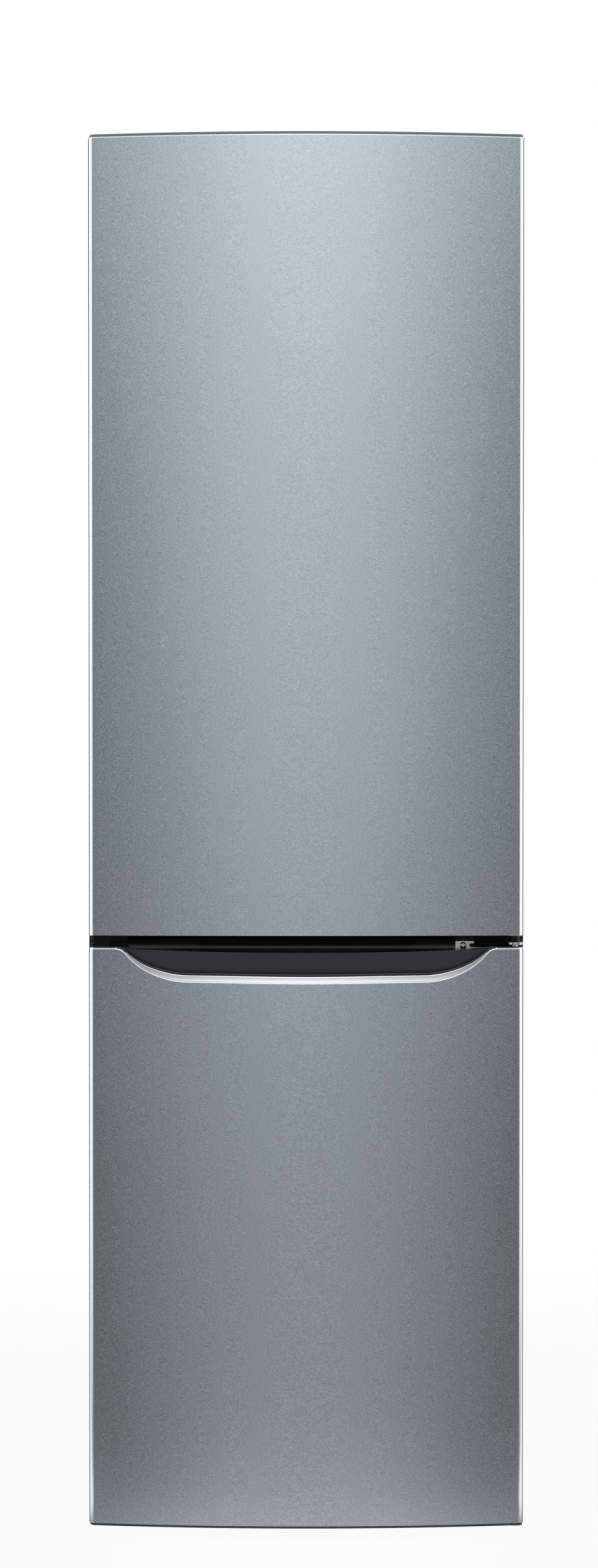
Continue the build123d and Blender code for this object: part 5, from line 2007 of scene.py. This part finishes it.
@dataclass
class Studio:
    """Camera at the photograph's view, soft room light and a pale floor."""

    distance: float = 3.8247
    height: float = 0.9724
    pitch: float = 0.0141
    focal: float = 4673.8
    axis_x: float = 502.7
    axis_y: float = 1409.75
    sensor: float = 36.0
    screen_degrees: float = 27.0
    screen_low: float = -0.174
    screen_high: float = 0.230
    screen_curve: float = 1.25
    screen_dim: float = 0.36
    screen_bright: float = 0.90
    gap_level: float = 0.18
    wall_degrees: tuple[float, float] = (43.0, 111.0)
    wall_fade: tuple[float, float] = (0.13, 0.10)
    wall_level: float = 1.05
    edge_tint: Triple = (0.94, 1.02, 0.985)
    rear_fade: float = 0.1
    rear_level: float = 0.70
    ceiling_level: float = 0.8
    ceiling_low: float = 0.12
    ceiling_high: float = 0.65
    floor_half: float = 2.6
    floor_depth: float = 0.02
    floor_front: float = 0.60
    floor_front_fade: float = 0.12
    floor_fade: float = 0.5
    floor_glow: float = 0.95
    floor_gloss: tuple[float, float] = (0.05, 0.95)
    floor_gloss_span: tuple[float, float] = (0.36, 0.43)
    floor_gloss_reach: float = 0.20
    # painted pool of light in the floor's matt colour, with painted shade forward and at the sides
    floor_pool_tone: Triple = (0.68, 0.63, 0.65)
    floor_fore_shade_tone: Triple = (0.45, 0.435, 0.445)
    floor_pool_curve: float = 3.0
    floor_side_shade_tone: Triple = (0.19, 0.19, 0.19)
    floor_side_span: tuple[float, float] = (0.08, 0.42)

    def build(self) -> None:
        """Set up the view, the light and the floor."""
        bpy.context.scene.view_settings.view_transform = "Standard"
        self.camera()
        self.room()
        self.floor()

    def camera(self) -> None:
        """Place the camera and shift its frame to match the photograph."""
        data = bpy.data.cameras.new("photo_camera")
        data.sensor_fit = "VERTICAL"
        data.sensor_height = self.sensor
        data.lens = self.focal / FRAME_HEIGHT * data.sensor_height
        data.shift_x = (FRAME_WIDTH / 2 - self.axis_x) / FRAME_HEIGHT
        data.shift_y = (self.axis_y - FRAME_HEIGHT / 2) / FRAME_HEIGHT
        camera = bpy.data.objects.new("photo_camera", data)
        camera.location = (0.0, FRONT - self.distance, self.height)
        camera.rotation_euler = (math.pi / 2 - self.pitch, 0.0, 0.0)
        bpy.context.scene.collection.objects.link(camera)
        bpy.context.scene.camera = camera

    def room(self) -> None:
        """Light the object from a pale room, with a graded screen behind the camera."""
        world = bpy.data.worlds.new("studio_room")
        bpy.context.scene.world = world
        world.use_nodes = True
        nodes = Nodes(world.node_tree)
        path = nodes.add("LightPath").outputs
        way = nodes.add("SeparateXYZ", {0: nodes.add("TexCoord").outputs["Generated"]}).outputs
        ahead = nodes.math("MULTIPLY", way[1], -1.0)
        turn = nodes.math("ABSOLUTE", nodes.math("ARCTAN2", way[0], ahead))
        screen = nodes.span(turn, 0.0, math.radians(self.screen_degrees), 1.0, 0.0, soft=True)
        rise = nodes.span(way[2], self.screen_low, self.screen_high, 0.0, 1.0)
        lift = nodes.math("POWER", rise, self.screen_curve)
        grade = nodes.span(lift, 0.0, 1.0, self.screen_dim, self.screen_bright)
        front = nodes.math("MULTIPLY", nodes.span(screen, 0.0, 1.0, self.gap_level, 1.0), grade)
        near, far = (math.radians(degrees) for degrees in self.wall_degrees)
        before, after = self.wall_fade
        side = nodes.span(turn, near - before, near + after, 0.0, 1.0, soft=True)
        wall = nodes.math("MULTIPLY", side, self.wall_level)
        rear = nodes.span(turn, far - self.rear_fade, far + self.rear_fade, 1.0, self.rear_level, soft=True)
        ceiling = nodes.span(
            way[2], self.ceiling_low, self.ceiling_high, 0.0, self.ceiling_level, soft=True
        )
        lit = nodes.math("ADD", front, ceiling)
        level = nodes.math("MAXIMUM", lit, nodes.math("MULTIPLY", wall, rear))
        seen = nodes.math("MAXIMUM", path["Is Camera Ray"], path["Is Transmission Ray"])
        mixed = nodes.add("Mix", {0: seen, 2: level, 3: 1.0}, data_type="FLOAT")
        plain = nodes.math("MAXIMUM", nodes.math("MAXIMUM", screen, side), seen)
        tint = nodes.blend(plain, full(self.edge_tint), full(WHITE))
        shader = nodes.add("Background", {0: tint, 1: mixed.outputs[0]})
        nodes.add("OutputWorld", {0: shader.outputs[0]})

    def floor(self) -> None:
        """Lay a pale floor that keeps the object's shadow and fades to white; its matt colour holds a
        painted pool of light, lightest near the object's front and darker further forward and at the sides.
        """
        front = FRONT - self.floor_front
        floor = Bench.block(
            "floor", (-self.floor_half, front, -self.floor_depth), (self.floor_half, self.floor_half, 0.0)
        )
        material = bpy.data.materials.new("floor_white")
        material.use_nodes = True
        nodes = Nodes(material.node_tree)
        path = nodes.add("LightPath").outputs
        place = nodes.add("SeparateXYZ", {0: nodes.add("TexCoord").outputs["Object"]}).outputs
        away = nodes.math("ABSOLUTE", place[0])
        across = nodes.span(away, self.floor_fade, self.floor_half, 0.0, 1.0, soft=True)
        behind = nodes.span(place[1], self.floor_fade, self.floor_half, 0.0, 1.0, soft=True)
        before = nodes.span(place[1], front, front + self.floor_front_fade, 1.0, 0.0, soft=True)
        border = nodes.math("MAXIMUM", nodes.math("MAXIMUM", across, behind), before)
        glow_share = nodes.span(border, 0.0, 1.0, self.floor_glow, 1.0)
        strip = nodes.math("GREATER_THAN", place[1], FRONT - self.floor_gloss_reach)
        shine = nodes.math("MULTIPLY", nodes.span(away, *self.floor_gloss_span, *self.floor_gloss), strip)
        gloss = nodes.math("MULTIPLY", path["Is Glossy Ray"], shine)
        shown = nodes.math("MAXIMUM", path["Is Camera Ray"], gloss)
        seen = nodes.math("MAXIMUM", shown, path["Is Transmission Ray"])
        # painted pool of light: the floor's matt colour is lightest near the middle of the object's front
        # and darker forward and towards the sides
        side_shade_share = nodes.span(away, *self.floor_side_span, 0.0, 1.0, soft=True)
        rise = nodes.math("POWER", nodes.span(place[1], front, FRONT, 0.0, 1.0), self.floor_pool_curve)
        middle = nodes.blend(rise, full(self.floor_fore_shade_tone), full(self.floor_pool_tone))
        matt = nodes.add("BsdfDiffuse", {0: nodes.blend(side_shade_share, middle, full(self.floor_side_shade_tone))})
        glow = nodes.add("Emission", {0: full(WHITE), 1: 1.0})
        share = nodes.math("MULTIPLY", seen, glow_share)
        mix = nodes.add("MixShader", {0: share, 1: matt.outputs[0], 2: glow.outputs[0]})
        nodes.add("OutputMaterial", {0: mix.outputs[0]})
        floor.data.materials.append(material)


BINS = ("door_bin_low", "door_bin_middle", "door_bin_high")
DRAWERS = ("freezer_drawer_low", "freezer_drawer_middle", "freezer_drawer_high")
CRISPERS = ("crisper_left", "crisper_right")
PLATES = ("glass_shelf_1", "glass_shelf_2", "glass_shelf_3", "crisper_cover")


def dress_nodes() -> None:
    """Give every node of the frame the finish of its slot."""
    for part in frame["record"]["subparts"]:
        node = frame["nodes"][part["node"]]
        node.data.materials.clear()
        node.data.materials.append(FINISHES[part["material_slot"]].material())


def fridge_door() -> list[SubAssembly]:
    """List what is built on the fridge door.

    Returns:
        Its sub-assemblies.
    """
    door = "fridge_door"
    return [
        DoorFront(door, "fridge_door_skin", low=0.8136, high=1.8902),
        GripCap(door, "fridge_door_bottom_cap", low=0.8135, high=0.8380),
        DoorCap(
            door, "fridge_door_top_cap", low=1.8762, high=1.8935, inset=0.0012, edge=0.0022, finish=CAP
        ),
        DoorSeal(door, "fridge_door_gasket"),
        DoorLiner(door, "fridge_door_liner", form_low=0.86525, form_high=1.7995, bins=BINS),
        BushBlank(door, "fridge_door_blank", foot=0.8136, tip=0.8078),
    ]


def freezer_door() -> list[SubAssembly]:
    """List what is built on the freezer door.

    Returns:
        Its sub-assemblies.
    """
    door = "freezer_door"
    return [
        ScoopedFront(door, "freezer_door_skin", low=0.0165, high=0.7972),
        PocketCap(door, "freezer_door_top_cap", low=0.7320, high=0.7970, edge=0.0014),
        PocketLip(door),
        DoorCap(door, "freezer_door_bottom_cap", low=0.0131, high=0.0300, inset=0.0008, edge=0.0022),
        DoorSeal(door, "freezer_door_gasket"),
        DoorLiner(
            door, "freezer_door_liner", form_low=0.126, form_high=0.72525, rim=0.030, sink=0.0014,
            round_off=0.0006,
        ),
        BushBlank(door, "freezer_door_blank", foot=0.7969, tip=0.8034),
    ]


def containers() -> list[SubAssembly]:
    """List the drawers and bins, each on a body of its own name.

    Returns:
        Their sub-assemblies.
    """
    drawers = [Tray(node, node) for node in DRAWERS + CRISPERS]
    return drawers + [Tray(node, node, front=1, corner=0.010, has_slot=False) for node in BINS]


def cabinet() -> list[SubAssembly]:
    """List what is built on the cabinet, with its feet and rollers.

    Returns:
        Its sub-assemblies.
    """
    body = "cabinet"
    feet = [LevellingFoot(node, node) for node in ("foot_left", "foot_right")]
    rollers = [RearRoller(node, node) for node in ("roller_left", "roller_right")]
    return [
        *(GlassShelf(body, node) for node in PLATES),
        Cavity(body, "fridge_liner", rests=PLATES),
        SteppedCavity(body, "freezer_liner", ledge_width=0.028, rests=DRAWERS, rest_gap=0.0003),
        CabinetWrap(body),
        BackSheet(body),
        MullionBead(body),
        MiddleHinge(body),
        HingeScrews(body),
        HingeBlank(body),
        *feet,
        *rollers,
    ]


def main() -> None:
    """Build the studio, dress the frame's nodes and build every sub-assembly."""
    logging.basicConfig(level=logging.INFO, format="%(name)s: %(message)s")
    Studio().build()
    dress_nodes()
    for assembly in fridge_door() + freezer_door() + containers() + cabinet():
        assembly.build()


if __name__ == "__main__":
    main()
